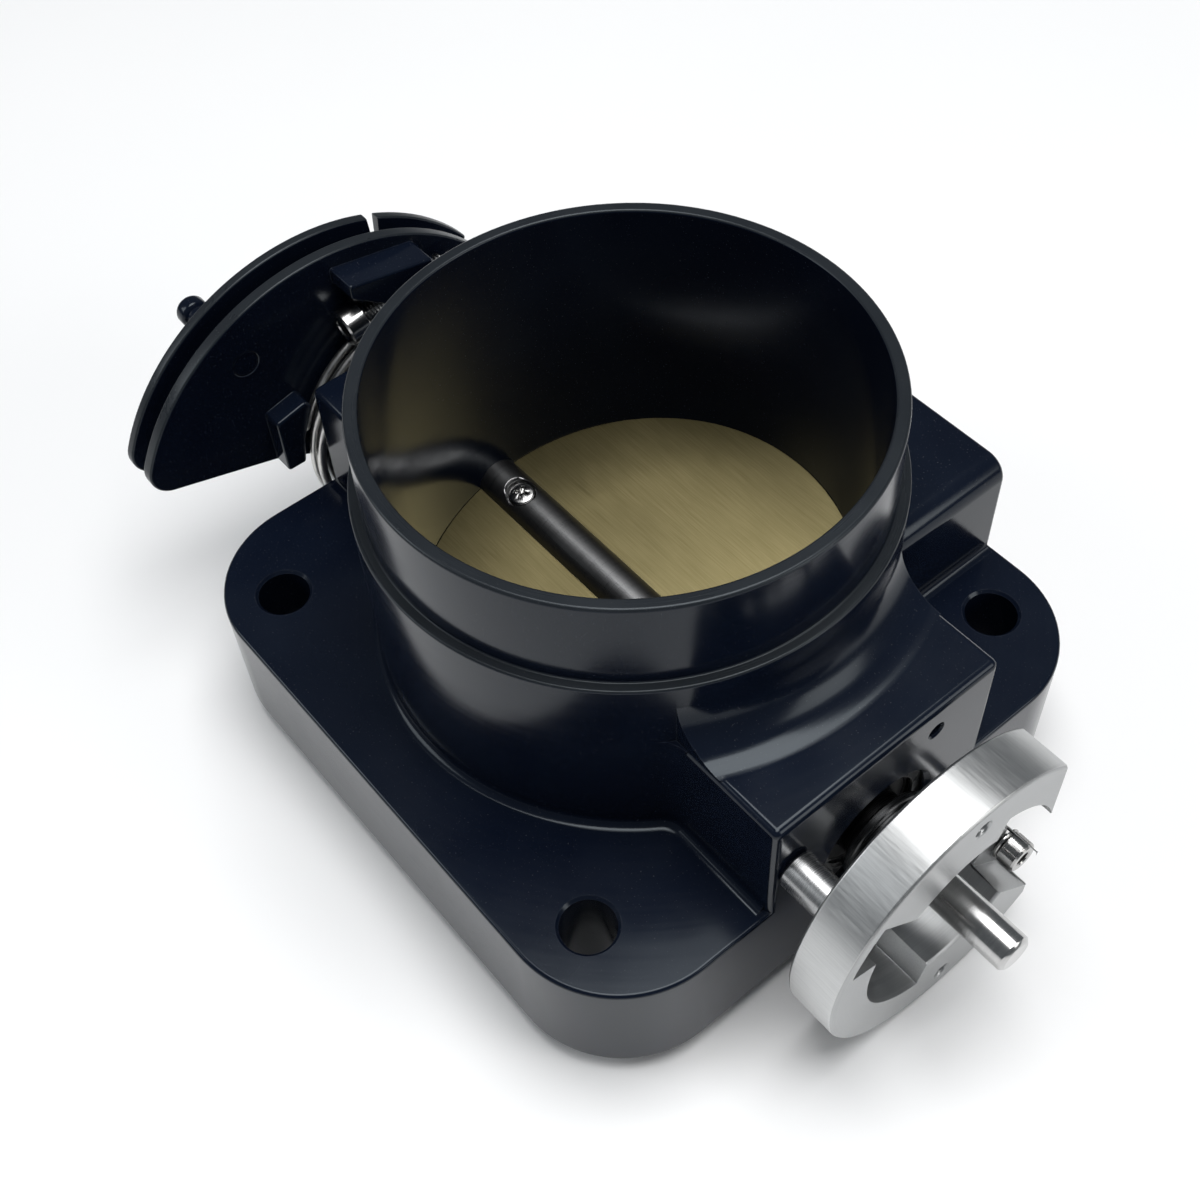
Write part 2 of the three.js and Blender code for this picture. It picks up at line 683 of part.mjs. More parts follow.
function cableWheel() {
  const grooveTop = WHEEL_FACE - INNER_FLANGE;
  const grooveBottom = grooveTop - GROOVE_WIDTH;
  const inner = plateX(wheelOutline(WHEEL_ARC_R, 6), grooveTop, WHEEL_FACE);
  const core = plateX(
    wheelOutline(WHEEL_ARC_R - GROOVE_DEPTH, 6),
    grooveBottom - 0.5,
    grooveTop + 0.5,
  );
  const outer = plateX(wheelOutline(WHEEL_ARC_R, 6), WHEEL_BACK, grooveBottom);
  const springLug = new THREE.Shape(
    [[-12.5, 41.5], [2, 30.4], [10, 30.4], [10, 36], [8, 41.3], [-12.5, 45.2]].map(
      ([y, z]) => new THREE.Vector2(y, SHAFT_Z + z),
    ),
  );
  const lowLug = new THREE.Shape(
    [[-35, 2.4], [-30.4, 2.4], [-29.2, 9], [-25.8, 17], [-27.2, 19], [-35, 17.2]].map(
      ([y, z]) => new THREE.Vector2(y, SHAFT_Z + z),
    ),
  );
  const cableSlot = plateX(
    new THREE.Shape([
      new THREE.Vector2(3.2, WHEEL_ARC_Z + 40),
      new THREE.Vector2(4.6, WHEEL_ARC_Z + 40),
      new THREE.Vector2(5.4, WHEEL_ARC_Z + 56),
      new THREE.Vector2(1.8, WHEEL_ARC_Z + 56),
    ]),
    WHEEL_BACK - 1,
    grooveBottom + 0.5,
  );
  const [threadY, threadZ] = alongScrew(SCREW_HEAD + SCREW_LENGTH / 2);
  const screwHole = new THREE.CylinderGeometry(2.55, 2.55, SCREW_LENGTH + 20, 20)
    .rotateX(STOP_SCREW_TILT)
    .translate(STOP_SCREW_X, threadY, threadZ);
  const body = join(
    inner,
    core,
    outer,
    plateX(springLug, WHEEL_FACE - 1, -74.6),
    plateX(lowLug, WHEEL_FACE - 1, LOW_LUG_FACE),
    discX(HUB_R, WHEEL_FACE - 1, WHEEL_FACE + 0.8),
  );
  return cut(
    body,
    cableSlot,
    solid(screwHole),
    discX(SHAFT_R + 0.3, WHEEL_BACK - 1, WHEEL_FACE + 3, 0, SHAFT_Z, 40),
    discX(2.3, WHEEL_BACK - 1, WHEEL_FACE + 1, STUD_Y, STUD_Z, 20),
    discX(1.9, grooveTop - 1, WHEEL_FACE + 1, ...polar(SPRING_R, SPRING_LEG_ANGLE), 16),
  );
}

addPiece("cable_wheel", cableWheel(), "black");
addPiece(
  "wheel_washer",
  turnedX([
    [STUB_R + 0.3, WHEEL_BACK - 0.3],
    [9, WHEEL_BACK - 0.3],
    [9, WHEEL_BACK - 1.7],
    [STUB_R + 0.3, WHEEL_BACK - 1.7],
  ], 32),
  "steel",
);
addPiece(
  "wheel_nut",
  cut(
    discX(7.5, WHEEL_BACK - 8.2, WHEEL_BACK - 2, 0, SHAFT_Z, 6),
    discX(STUB_R + 0.3, WHEEL_BACK - 9, WHEEL_BACK - 1, 0, SHAFT_Z, 32),
  ),
  "steel",
);
addPiece(
  "cable_stud",
  turnedX([
    [0, WHEEL_FACE - 0.2],
    [2, WHEEL_FACE - 0.2],
    [2, WHEEL_BACK - 0.3],
    [4.6, WHEEL_BACK - 0.3],
    [3.6, WHEEL_BACK - 7.5],
    [2.4, WHEEL_BACK - 8],
    [2.4, WHEEL_BACK - 9.6],
    [3.4, WHEEL_BACK - 10.2],
    [3.4, -STUB_TIP + 0.8],
    [2.6, -STUB_TIP],
    [0, -STUB_TIP],
  ], 28, STUD_Y, STUD_Z),
  "black",
);

// The stop screw is carried by the wheel: its tip meets the stop post with the throttle shut.
function onScrewAxis(profile, segments, distance) {
  const [y, z] = alongScrew(distance);
  return turnedZ(profile, segments)
    .rotate([-90 + THREE.MathUtils.radToDeg(STOP_SCREW_TILT), 0, 0])
    .translate([STOP_SCREW_X, y, z]);
}
addPiece(
  "stop_screw",
  cut(
    onScrewAxis(
      [
        [0, 0],
        [3.8, 0],
        [4.2, 0.4],
        [4.2, SCREW_HEAD],
        [2.5, SCREW_HEAD],
        [2.5, SCREW_HEAD + SCREW_LENGTH - 0.8],
        [1.9, SCREW_HEAD + SCREW_LENGTH],
        [0, SCREW_HEAD + SCREW_LENGTH],
      ],
      28,
      0,
    ),
    onScrewAxis([[0, -1], [2.3, -1], [2.3, 2.5], [0, 2.5]], 6, 0),
  ),
  "steel",
);

// ---- Return spring on its drum, between the boss and the wheel ----

// One end is bent into the boss face and the other into the wheel's inner flange.
function returnSpring() {
  const points = [];
  const place = (x, radius, degrees) => points.push(new THREE.Vector3(x, ...polar(radius, degrees)));
  place(-68, SPRING_R, SPRING_START);
  place(-70.2, SPRING_R, SPRING_START);
  place(-72, SPRING_R, SPRING_START + 0.6);
  const coilPoints = Math.round(SPRING_TURN / 15);
  for (let i = 0; i < coilPoints; i++) {
    const along = (i + 0.5) / coilPoints;
    const x = THREE.MathUtils.lerp(SPRING_X[0], SPRING_X[1], along);
    place(x, SPRING_R, SPRING_START + along * (SPRING_TURN - 6) + 3);
  }
  place(SPRING_X[1] - 1, SPRING_R, SPRING_LEG_ANGLE - 0.6);
  place(SPRING_X[1] - 2.8, SPRING_R, SPRING_LEG_ANGLE);
  place(SPRING_X[1] - 4.4, SPRING_R, SPRING_LEG_ANGLE);
  const section = new THREE.Shape();
  section.absarc(0, 0, SPRING_WIRE_R, 0, 2 * Math.PI);
  const geometry = new THREE.ExtrudeGeometry(section, {
    steps: 96,
    curveSegments: 3,
    extrudePath: new THREE.CatmullRomCurve3(points, false, "centripetal"),
  });
  return solid(geometry);
}

addPiece("return_spring", returnSpring(), "steel");
// The drum turns with the wheel; a pin in the boss runs in its curved slot and ends the opening.
function stopSlot() {
  const half = THREE.MathUtils.radToDeg(0.4 / STOP_PIN_CIRCLE_R);
  const to = THREE.MathUtils.degToRad(STOP_PIN_ANGLE + half);
  const from = THREE.MathUtils.degToRad(STOP_PIN_ANGLE - OPENING_DEGREES - half);
  const middle = STOP_PIN_CIRCLE_R;
  const outline = new THREE.Shape();
  outline.absarc(0, SHAFT_Z, middle + STOP_PIN_R + 0.3, from, to);
  outline.absarc(0, SHAFT_Z, middle - STOP_PIN_R - 0.3, to, from, true);
  const slot = plateX(outline, -76, -BOSS_FACE, 12);
  const ends = [to, from].map((angle) =>
    discX(STOP_PIN_R + 0.3, -76, -BOSS_FACE, ...polar(middle, THREE.MathUtils.radToDeg(angle)), 16),
  );
  return join(slot, ...ends);
}

addPiece(
  "spring_drum",
  cut(
    turnedX([
      [SHAFT_R + 0.3, -BOSS_FACE - 0.4],
      [DRUM_R, -BOSS_FACE - 0.4],
      [DRUM_R, -80.9],
      [DRUM_R - 2.4, -80.9],
      [DRUM_R - 2.4, -74],
      [SHAFT_R + 3, -74],
      [SHAFT_R + 3, -80.9],
      [SHAFT_R + 0.3, -80.9],
    ], 32),
    stopSlot(),
  ),
  "black",
);
addPiece(
  "wide_open_stop_pin",
  discX(STOP_PIN_R, -74.6, -BOSS_FACE + 6.5, ...STOP_PIN_CENTRE, 16),
  "steel",
);

export default throttleBody;
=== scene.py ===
import math

import bmesh
import bpy
from mathutils import Matrix, Vector


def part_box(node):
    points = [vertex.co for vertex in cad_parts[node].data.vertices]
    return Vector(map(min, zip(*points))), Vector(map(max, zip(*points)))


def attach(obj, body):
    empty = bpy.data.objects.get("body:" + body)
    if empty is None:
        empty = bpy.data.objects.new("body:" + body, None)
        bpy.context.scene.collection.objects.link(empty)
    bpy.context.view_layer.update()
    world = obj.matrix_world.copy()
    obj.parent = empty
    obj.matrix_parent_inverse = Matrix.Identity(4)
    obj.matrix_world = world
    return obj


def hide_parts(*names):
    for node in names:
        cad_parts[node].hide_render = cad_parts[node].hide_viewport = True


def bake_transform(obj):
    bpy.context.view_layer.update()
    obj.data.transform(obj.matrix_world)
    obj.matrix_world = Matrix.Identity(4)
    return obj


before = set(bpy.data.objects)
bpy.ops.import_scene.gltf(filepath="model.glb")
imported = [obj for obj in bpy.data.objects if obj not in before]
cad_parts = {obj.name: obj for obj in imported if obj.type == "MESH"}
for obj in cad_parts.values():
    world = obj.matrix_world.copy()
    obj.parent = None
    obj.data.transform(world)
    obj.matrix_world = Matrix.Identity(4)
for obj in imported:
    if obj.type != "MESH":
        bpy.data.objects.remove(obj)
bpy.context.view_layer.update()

# ---- Camera, floor and lights ----
# The throttle body stands on a pale table, seen from above the sensor end of its shaft.
# A wide softbox hangs over it, with a dimmer one on each side.

MM = 0.001
scene = bpy.context.scene
scene.view_settings.view_transform = "Standard"

azimuth, elevation, roll = (math.radians(angle) for angle in (51.93, 52.51, -2.54))
toward_camera = Vector((
    math.sin(azimuth) * math.cos(elevation),
    -math.cos(azimuth) * math.cos(elevation),
    math.sin(elevation),
))
level = Vector((math.cos(azimuth), math.sin(azimuth), 0))
upright = toward_camera.cross(level)
right = level * math.cos(roll) + upright * math.sin(roll)
up = upright * math.cos(roll) - level * math.sin(roll)
camera_data = bpy.data.cameras.new("camera")
camera_data.lens = 48.47
camera_data.shift_x = -0.018
camera_data.shift_y = -0.0007
camera_data.clip_start = 0.01
camera = bpy.data.objects.new("camera", camera_data)
camera.matrix_world = Matrix.Translation((0.160765, -0.12902, 0.303448)) @ Matrix(
    (right, up, toward_camera)
).transposed().to_4x4()
scene.collection.objects.link(camera)
scene.camera = camera


def softbox(name, place, aim, size, watts, tint=(1, 1, 1)):
    data = bpy.data.lights.new(name, "AREA")
    data.shape = "RECTANGLE"
    data.size, data.size_y = size
    data.energy = watts
    data.color = tint
    light = bpy.data.objects.new(name, data)
    light.location = place
    light.rotation_euler = (Vector(aim) - Vector(place)).to_track_quat("-Z", "Y").to_euler()
    scene.collection.objects.link(light)


softbox("overhead_softbox", (0.05, 0.1, 1.3), (0, 0, 0), (0.9, 0.9), 17)
softbox("left_softbox", (-0.7, -0.9, 0.75), (0, 0, 0.03), (0.5, 0.7), 3.6, (0.95, 0.98, 1))
softbox("right_softbox", (1.0, 0.5, 0.6), (0, 0, 0.03), (0.5, 0.6), 3.2, (1, 0.99, 0.97))

world = bpy.data.worlds.new("studio")
world.use_nodes = True
world.node_tree.nodes["Background"].inputs["Color"].default_value = (0.86, 0.93, 1, 1)
world.node_tree.nodes["Background"].inputs["Strength"].default_value = 0.14
scene.world = world


def node(tree, kind, values=None, **settings):
    """A shader node with its settings, and its inputs set to numbers or linked to other outputs."""
    made = tree.nodes.new("ShaderNode" + kind)
    for name, value in settings.items():
        setattr(made, name, value)
    for name, value in (values or {}).items():
        if isinstance(value, bpy.types.NodeSocket):
            tree.links.new(value, made.inputs[name])
        else:
            made.inputs[name].default_value = value
    return made


def math_node(tree, operation, *values):
    return node(tree, "Math", dict(enumerate(values)), operation=operation).outputs[0]


def vector_node(tree, operation, *values):
    return node(tree, "VectorMath", dict(enumerate(values)), operation=operation).outputs


def blended(tree, factor, first, second):
    """A colour that runs from the first to the second as the factor goes from 0 to 1."""
    ends = [end if isinstance(end, bpy.types.NodeSocket) else (*end, 1) for end in (first, second)]
    made = node(tree, "Mix", {"Factor": factor, "A": ends[0], "B": ends[1]}, data_type="RGBA")
    return made.outputs["Result"]


def shader_group(name, inputs, outputs):
    """An empty node group. Inputs are (name, kind, value) and outputs are names of floats."""
    tree = bpy.data.node_groups.new(name, "ShaderNodeTree")
    for label, kind, value in inputs:
        socket = tree.interface.new_socket(label, in_out="INPUT", socket_type="NodeSocket" + kind)
        socket.default_value = value
    for label in outputs:
        tree.interface.new_socket(label, in_out="OUTPUT", socket_type="NodeSocketFloat")
    return tree, tree.nodes.new("NodeGroupInput").outputs, tree.nodes.new("NodeGroupOutput").inputs


def placed(tree, group, **values):
    """A group put into a material's node tree, with its own values."""
    made = tree.nodes.new("ShaderNodeGroup")
    made.node_tree = group
    for name, value in values.items():
        made.inputs[name].default_value = value
    return made.outputs


# Smudges: broad soft patches where a surface has been handled, and fine specks of dust.
handling, given, result = shader_group("handling", [("Size", "Float", 60.0)], ["Smudge", "Speck"])
where = node(handling, "TexCoord").outputs["Object"]
patches = node(handling, "TexNoise", {"Vector": where, "Scale": given["Size"], "Detail": 3.0})
dust = node(handling, "TexNoise", {"Vector": where, "Scale": 2600.0, "Detail": 1.0})
soft = node(handling, "MapRange", {"Value": patches.outputs[0], "From Min": 0.35, "From Max": 0.7})
rare = node(handling, "MapRange", {"Value": dust.outputs[0], "From Min": 0.7, "From Max": 0.78})
handling.links.new(soft.outputs[0], result["Smudge"])
handling.links.new(rare.outputs[0], result["Speck"])

floor_size = 6
bpy.ops.mesh.primitive_plane_add(size=floor_size, location=(0, 0, -0.0004))
floor = bpy.context.object
floor.name = "floor"
table_top = bpy.data.materials.new("pale_table")
table_top.use_nodes = True
shader = table_top.node_tree.nodes["Principled BSDF"]
patch = placed(table_top.node_tree, handling, Size=4.0)
tone = blended(table_top.node_tree, patch["Smudge"], (0.90, 0.90, 0.902), (0.92, 0.92, 0.92))
table_top.node_tree.links.new(tone, shader.inputs["Base Color"])
shader.inputs["Roughness"].default_value = 0.6
floor.data.materials.append(table_top)

# ---- Throttle housing ----
# One billet of aluminium, milled and bored, then black anodised with a satin gloss: a near-square
# flange, a barrel with a stepped hose neck, a boss at each end of the shaft and a rear block.
# The flange has four holes for the bolts that hold it down.


def span(name):
    """A CAD node's lowest and highest corner, in millimetres."""
    low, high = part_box(name)
    return low / MM, high / MM


def arc(u, v, radius, start, end, steps):
    """Points on an arc about (u, v), from one angle to another in degrees."""
    angles = [math.radians(start + (end - start) * i / steps) for i in range(steps + 1)]
    return [(u + radius * math.cos(a), v + radius * math.sin(a)) for a in angles]


def as_object(name, bm):
    bmesh.ops.remove_doubles(bm, verts=bm.verts, dist=1e-7)
    bmesh.ops.recalc_face_normals(bm, faces=bm.faces)
    mesh = bpy.data.meshes.new(name)
    bm.to_mesh(mesh)
    bm.free()
    made = bpy.data.objects.new(name, mesh)
    scene.collection.objects.link(made)
    return made


# How (across, up, along) of an outline or a turned profile lies in space, for each axis.
LIE = {
    "X": lambda u, v, h: (h, u, v),
    "Y": lambda u, v, h: (v, h, u),
    "Z": lambda u, v, h: (u, v, h),
}
SHARP = math.radians(35)


def round_edges(bm, width, segments):
    """Rounds every edge where the surface turns by more than SHARP."""
    if not width:
        return
    bm.normal_update()
    sharp = [e for e in bm.edges if len(e.link_faces) == 2 and e.calc_face_angle(0) > SHARP]
    bmesh.ops.bevel(
        bm, geom=sharp, offset=width * MM, offset_type="OFFSET", segments=segments,
        profile=0.5, affect="EDGES", clamp_overlap=True,
    )


def skinned(bm, rings, count, closed=False):
    """Joins each ring of points to the next with faces. A ring may be one point."""
    for low, high in zip(rings, rings[1:] + rings[:1] if closed else rings[1:]):
        if len(low) == len(high) == 1:
            continue
        for i in range(count):
            j = (i + 1) % count
            corners = [low[i % len(low)], low[j % len(low)], high[j % len(high)], high[i % len(high)]]
            bm.faces.new(dict.fromkeys(corners))


def turned(name, profile, axis="Z", centre=(0, 0, 0), segments=96):
    """A body turned on a lathe. The profile is (radius, height) pairs, in millimetres."""
    bm = bmesh.new()
    rings = []
    for radius, height in profile:
        count = segments if radius else 1
        ring = []
        for i in range(count):
            a = 2 * math.pi * i / segments
            spot = LIE[axis](radius * math.cos(a), radius * math.sin(a), height)
            ring.append(bm.verts.new((Vector(spot) + Vector(centre)) * MM))
        rings.append(ring)
    skinned(bm, rings, segments, closed=bool(profile[0][0] and profile[-1][0]))
    # The middle point of a flat end isn't needed, and without it the end is one clean face.
    flat_ends = [ring[0] for ring in rings if len(ring) == 1]
    bmesh.ops.recalc_face_normals(bm, faces=bm.faces)
    bmesh.ops.dissolve_verts(bm, verts=[v for v in flat_ends if v.calc_shell_factor() < 1.001])
    return as_object(name, bm)


def extruded(name, outline, low, high, axis="X", rounding=0, segments=3):
    """A plate cut to an outline, in millimetres, between two places along an axis."""
    bm = bmesh.new()
    ends = [[bm.verts.new(Vector(LIE[axis](u, v, h)) * MM) for u, v in outline] for h in (low, high)]
    bm.faces.new(ends[0])
    bm.faces.new(ends[1])
    for i in range(len(outline)):
        j = (i + 1) % len(outline)
        bm.faces.new((ends[0][i], ends[0][j], ends[1][j], ends[1][i]))
    bmesh.ops.recalc_face_normals(bm, faces=bm.faces)
    round_edges(bm, rounding, segments)
    return as_object(name, bm)


def block(name, low, high, rounding=0, segments=3):
    corners = [(low[0], low[1]), (high[0], low[1]), (high[0], high[1]), (low[0], high[1])]
    return extruded(name, corners, low[2], high[2], "Z", rounding, segments)


def worked_out(made):
    """The mesh that an object's modifiers or its curve come to."""
    bpy.context.view_layer.update()
    done = made.evaluated_get(bpy.context.evaluated_depsgraph_get())
    return bpy.data.meshes.new_from_object(done)


def machined(base, tools, operation="DIFFERENCE"):
    """The base with each tool cut from it, or joined to it. The tools are used up."""
    for tool in tools:
        change = base.modifiers.new("cut", "BOOLEAN")
        change.operation = operation
        change.solver = "EXACT"
        change.object = tool
        mesh = worked_out(base)
        base.modifiers.clear()
        base.data = mesh
        bpy.data.objects.remove(tool)
    return base


def finished(made, material, body, *nodes, edge=0.0, crease=32):
    """Breaks the sharp edges, smooths the round faces, and gives the piece its finish and body."""
    mesh = made.data
    mesh.materials.clear()
    mesh.materials.append(material)
    mesh.shade_smooth()
    if edge:
        broken = made.modifiers.new("edge_break", "BEVEL")
        broken.width = edge * MM
        broken.segments = 2
        broken.limit_method = "ANGLE"
        broken.angle_limit = math.radians(crease)
        broken.use_clamp_overlap = False
        broken.miter_outer = "MITER_ARC"
        made.data = worked_out(made)
        made.modifiers.clear()
    made.data.set_sharp_from_angle(angle=math.radians(crease))
    even = made.modifiers.new("even_faces", "WEIGHTED_NORMAL")
    even.keep_sharp = True
    even.weight = 70
    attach(made, body)
    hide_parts(*nodes)
    return made


# Worn edges: a mask of the places where a surface turns sharply, broken up by noise.
edge_wear, given, result = shader_group(
    "edge_wear", [("Width", "Float", 0.0004), ("Cover", "Float", 0.5)], ["Worn"],
)
rounded_normal = node(edge_wear, "Bevel", {"Radius": given["Width"]}, samples=4).outputs[0]
true_normal = node(edge_wear, "NewGeometry").outputs["Normal"]
likeness = vector_node(edge_wear, "DOT_PRODUCT", rounded_normal, true_normal)["Value"]
turning = node(edge_wear, "MapRange", {"Value": likeness, "From Min": 0.995, "From Max": 0.86}).outputs[0]
where = node(edge_wear, "TexCoord").outputs["Object"]
chips = node(edge_wear, "TexNoise", {"Vector": where, "Scale": 420.0, "Detail": 4.0}).outputs[0]
kept = math_node(edge_wear, "SUBTRACT", 0.86, math_node(edge_wear, "MULTIPLY", given["Cover"], 0.7))
broken_up = node(edge_wear, "MapRange", {"Value": chips, "From Min": kept, "From Max": 0.9}).outputs[0]
edge_wear.links.new(math_node(edge_wear, "MULTIPLY", turning, broken_up), result["Worn"])

# Turning marks: fine rings about an axis, as a lathe or a boring bar leaves them.
turning_marks, given, result = shader_group("turning_marks", [
    ("Centre", "Vector", (0, 0, 0)), ("Axis", "Vector", (0, 0, 1)), ("Density", "Float", 1800.0),
], ["Rings"])
where = node(turning_marks, "TexCoord").outputs["Object"]
from_centre = vector_node(turning_marks, "SUBTRACT", where, given["Centre"])[0]
along = vector_node(turning_marks, "DOT_PRODUCT", from_centre, given["Axis"])["Value"]
across = vector_node(turning_marks, "CROSS_PRODUCT", from_centre, given["Axis"])[0]
reach = vector_node(turning_marks, "LENGTH", across)["Value"]
flat_place = node(turning_marks, "CombineXYZ", {"X": along, "Y": reach}).outputs[0]
rings = node(
    turning_marks, "TexNoise", {"Vector": flat_place, "Scale": given["Density"], "Detail": 2.0},
).outputs[0]
turning_marks.links.new(rings, result["Rings"])

# Brushed lines: fine grain drawn out one way, given as how fast it changes along X, Y and Z.
brushed_lines, given, result = shader_group(
    "brushed_lines", [("Fineness", "Vector", (60, 3000, 3000))], ["Lines"],
)
where = node(brushed_lines, "TexCoord").outputs["Object"]
drawn = vector_node(brushed_lines, "MULTIPLY", where, given["Fineness"])[0]
grain = node(brushed_lines, "TexNoise", {"Vector": drawn, "Scale": 1.0, "Detail": 4.0}).outputs[0]
brushed_lines.links.new(grain, result["Lines"])


def ranged(tree, value, low, high, start=0.0, end=1.0):
    """A value that goes from start to end, spread from low to high."""
    return node(tree, "MapRange", {
        "Value": value, "From Min": start, "From Max": end, "To Min": low, "To Max": high,
    }).outputs[0]


def surface(name, colour, roughness, normal_height, depth, **constants):
    """A material from functions that draw its colour, roughness and bump in its node tree."""
    material = bpy.data.materials.new(name)
    material.use_nodes = True
    tree = material.node_tree
    shader = tree.nodes["Principled BSDF"]
    for label, value in constants.items():
        shader.inputs[label.replace("_", " ")].default_value = value
    tree.links.new(colour(tree), shader.inputs["Base Color"])
    tree.links.new(roughness(tree), shader.inputs["Roughness"])
    bump = node(tree, "Bump", {"Height": normal_height(tree), "Distance": depth * MM, "Strength": 1.0})
    tree.links.new(bump.outputs[0], shader.inputs["Normal"])
    return material


# Heights and radii of the housing. ROUND is how many sides its largest round faces have.
housing_low, housing_high = span("throttle_housing")
HALF_X, HALF_Y, RIM = housing_high
BASE = housing_low.z
SHAFT_Z = sum(corner.z for corner in span("throttle_shaft")) / 2
FLANGE_TOP = BASE + 28.5
FLANGE_CORNER = 24
BARREL = 53
NECK = 50.8
LEDGE = RIM - 20
BORE = 47
RIM_BORE = 48
BORE_STRAIGHT_TOP = 50
BOSS_HALF = 28
BOSS_TOP = 62
BOSS_FILLET = 10
BLOCK_HALF = 38.5
BLOCK_TOP = 59.5
BOLT_X, BOLT_Y, BOLT_R = 51.1, 54.2, 5.5
O_RING = 52
O_RING_WIRE = 1.3
SHAFT_WAY, SEAL_SEAT, BEARING_SEAT, CLIP_SEAT = 5.06, 9.3, 13.3, 14.5
SEAL_X, BEARING_X, CLIP_X, CLIP_END_X = 54.4, 59.9, 68.4, 69.7
STANDOFF_CIRCLE = 26.4
STANDOFFS = {"upper": 150, "lower": 330}
SPRING_R, SPRING_START, SPRING_LEG = 28.3, -45, 165
PIN_CIRCLE, PIN_ROOM = 18, 2.3
ROUND = 160


def anodised_black(
    name, centre, axis, scoop=False, dull=0.0, base=((0.0030, 0.0052, 0.0125), (0.0046, 0.0076, 0.0160)),
):
    """Dyed and sealed oxide: deep blue-black, glossy, with the cutter's marks under it.

    scoop adds ridges on the bosses' fillets, and base is the two colours its smudges lie between.
    """
    def colour(tree):
        touch = placed(tree, handling, Size=55.0)
        body = blended(tree, touch["Smudge"], *base)
        worn = placed(tree, edge_wear, Width=0.00045, Cover=0.75)["Worn"]
        lighter = blended(tree, ranged(tree, worn, 0, 0.7), body, (0.06, 0.065, 0.075))
        return blended(tree, math_node(tree, "MULTIPLY", touch["Speck"], 0.12), lighter, (0.25, 0.25, 0.26))

    def roughness(tree):
        touch = placed(tree, handling, Size=38.0)
        rings = placed(tree, turning_marks, Centre=centre, Axis=axis, Density=900.0)["Rings"]
        spread = ranged(tree, touch["Smudge"], 0.13 + dull, 0.2 + dull)
        return math_node(tree, "ADD", spread, ranged(tree, rings, -0.03, 0.05))

    def height(tree):
        rings = placed(tree, turning_marks, Centre=centre, Axis=axis, Density=1500.0)["Rings"]
        pits = node(tree, "TexNoise", {
            "Vector": node(tree, "TexCoord").outputs["Object"], "Scale": 3400.0, "Detail": 2.0,
        }).outputs[0]
        total = math_node(tree, "ADD", ranged(tree, rings, 0, 0.35), ranged(tree, pits, 0, 0.25))
        if not scoop:
            return total
        # The ball-nosed cutter that swept the fillet on each boss left shallow ridges.
        split = node(tree, "SeparateXYZ", {0: node(tree, "TexCoord").outputs["Object"]})
        x, y, z = split.outputs
        reach = math_node(tree, "SQRT", math_node(
            tree, "ADD", math_node(tree, "MULTIPLY", x, x), math_node(tree, "MULTIPLY", y, y)))
        ridges = math_node(tree, "SINE", math_node(tree, "MULTIPLY", reach, 2 * math.pi / (0.9 * MM)))
        on_fillet = math_node(
            tree, "MULTIPLY",
            ranged(tree, reach, 0, 1, (BARREL + 1) * MM, (BARREL + 4) * MM),
            math_node(
                tree, "MULTIPLY",
                ranged(tree, reach, 1, 0, (BARREL + 9) * MM, (BARREL + 11) * MM),
                ranged(tree, z, 0, 1, (BOSS_TOP - 1) * MM, BOSS_TOP * MM)))
        swept = math_node(tree, "MULTIPLY", math_node(tree, "MULTIPLY", ridges, on_fillet), 0.3)
        return math_node(tree, "ADD", total, swept)

    return surface(
        name, colour, roughness, height, 0.004, IOR=1.38, Specular_IOR_Level=0.42,
        Specular_Tint=(0.86, 0.95, 1, 1),
    )


housing_black = anodised_black("black_anodised_billet", (0, 0, 0), (0, 0, 1), scoop=True)
# The neck's rim and ledge and the wheel's rims get a duller finish, and a greyer base that is painted sheen,
# standing in for the light these faces catch.
painted_sheen_greys = (0.012, 0.0145, 0.018), (0.018, 0.021, 0.025)
sheen_painted_black = anodised_black(
    "black_anodised_painted_sheen", (0, 0, 0), (0, 0, 1), dull=0.12, base=painted_sheen_greys,
)

corner_u, corner_v = HALF_X - FLANGE_CORNER, HALF_Y - FLANGE_CORNER
flange_outline = [
    point
    for sign_u, sign_v, start in ((1, 1, 0), (-1, 1, 90), (-1, -1, 180), (1, -1, 270))
    for point in arc(sign_u * corner_u, sign_v * corner_v, FLANGE_CORNER, start, start + 90, 24)
]
housing = extruded("throttle_housing_billet", flange_outline, BASE, FLANGE_TOP, "Z", 0.8)
FOOT = 2
foot = arc(BARREL + FOOT, FLANGE_TOP + FOOT, FOOT, 270, 180, 6)
barrel = turned("barrel", [
    (0, BASE + 1), (BARREL - 1, BASE + 1), (BARREL - 1, FLANGE_TOP - 0.2),
    (BARREL + FOOT, FLANGE_TOP - 0.2), *foot,
    *arc(BARREL - 0.5, LEDGE - 0.5, 0.5, 0, 90, 3), *arc(NECK + 0.4, LEDGE + 0.4, 0.4, 270, 180, 3),
    *arc(NECK - 0.7, RIM - 0.7, 0.7, 0, 90, 4), (0, RIM),
], segments=ROUND)
bosses = block(
    "bosses", (-HALF_X, -BOSS_HALF, BASE + 2), (HALF_X, BOSS_HALF, BOSS_TOP), rounding=1.6, segments=4,
)
sweep = arc(BARREL + BOSS_FILLET, BOSS_TOP + BOSS_FILLET, BOSS_FILLET, 270, 180, 14)
fillets = turned("boss_fillets", [
    (BARREL - 1, BOSS_TOP - 3), (BARREL + BOSS_FILLET, BOSS_TOP - 3), *sweep,
    (BARREL - 1, BOSS_TOP + BOSS_FILLET),
], segments=ROUND)
trim = block("trim", (-HALF_X + 2, -BOSS_HALF + 0.4, BOSS_TOP - 1), (HALF_X - 2, BOSS_HALF - 0.4, RIM))
machined(fillets, [trim], "INTERSECT")
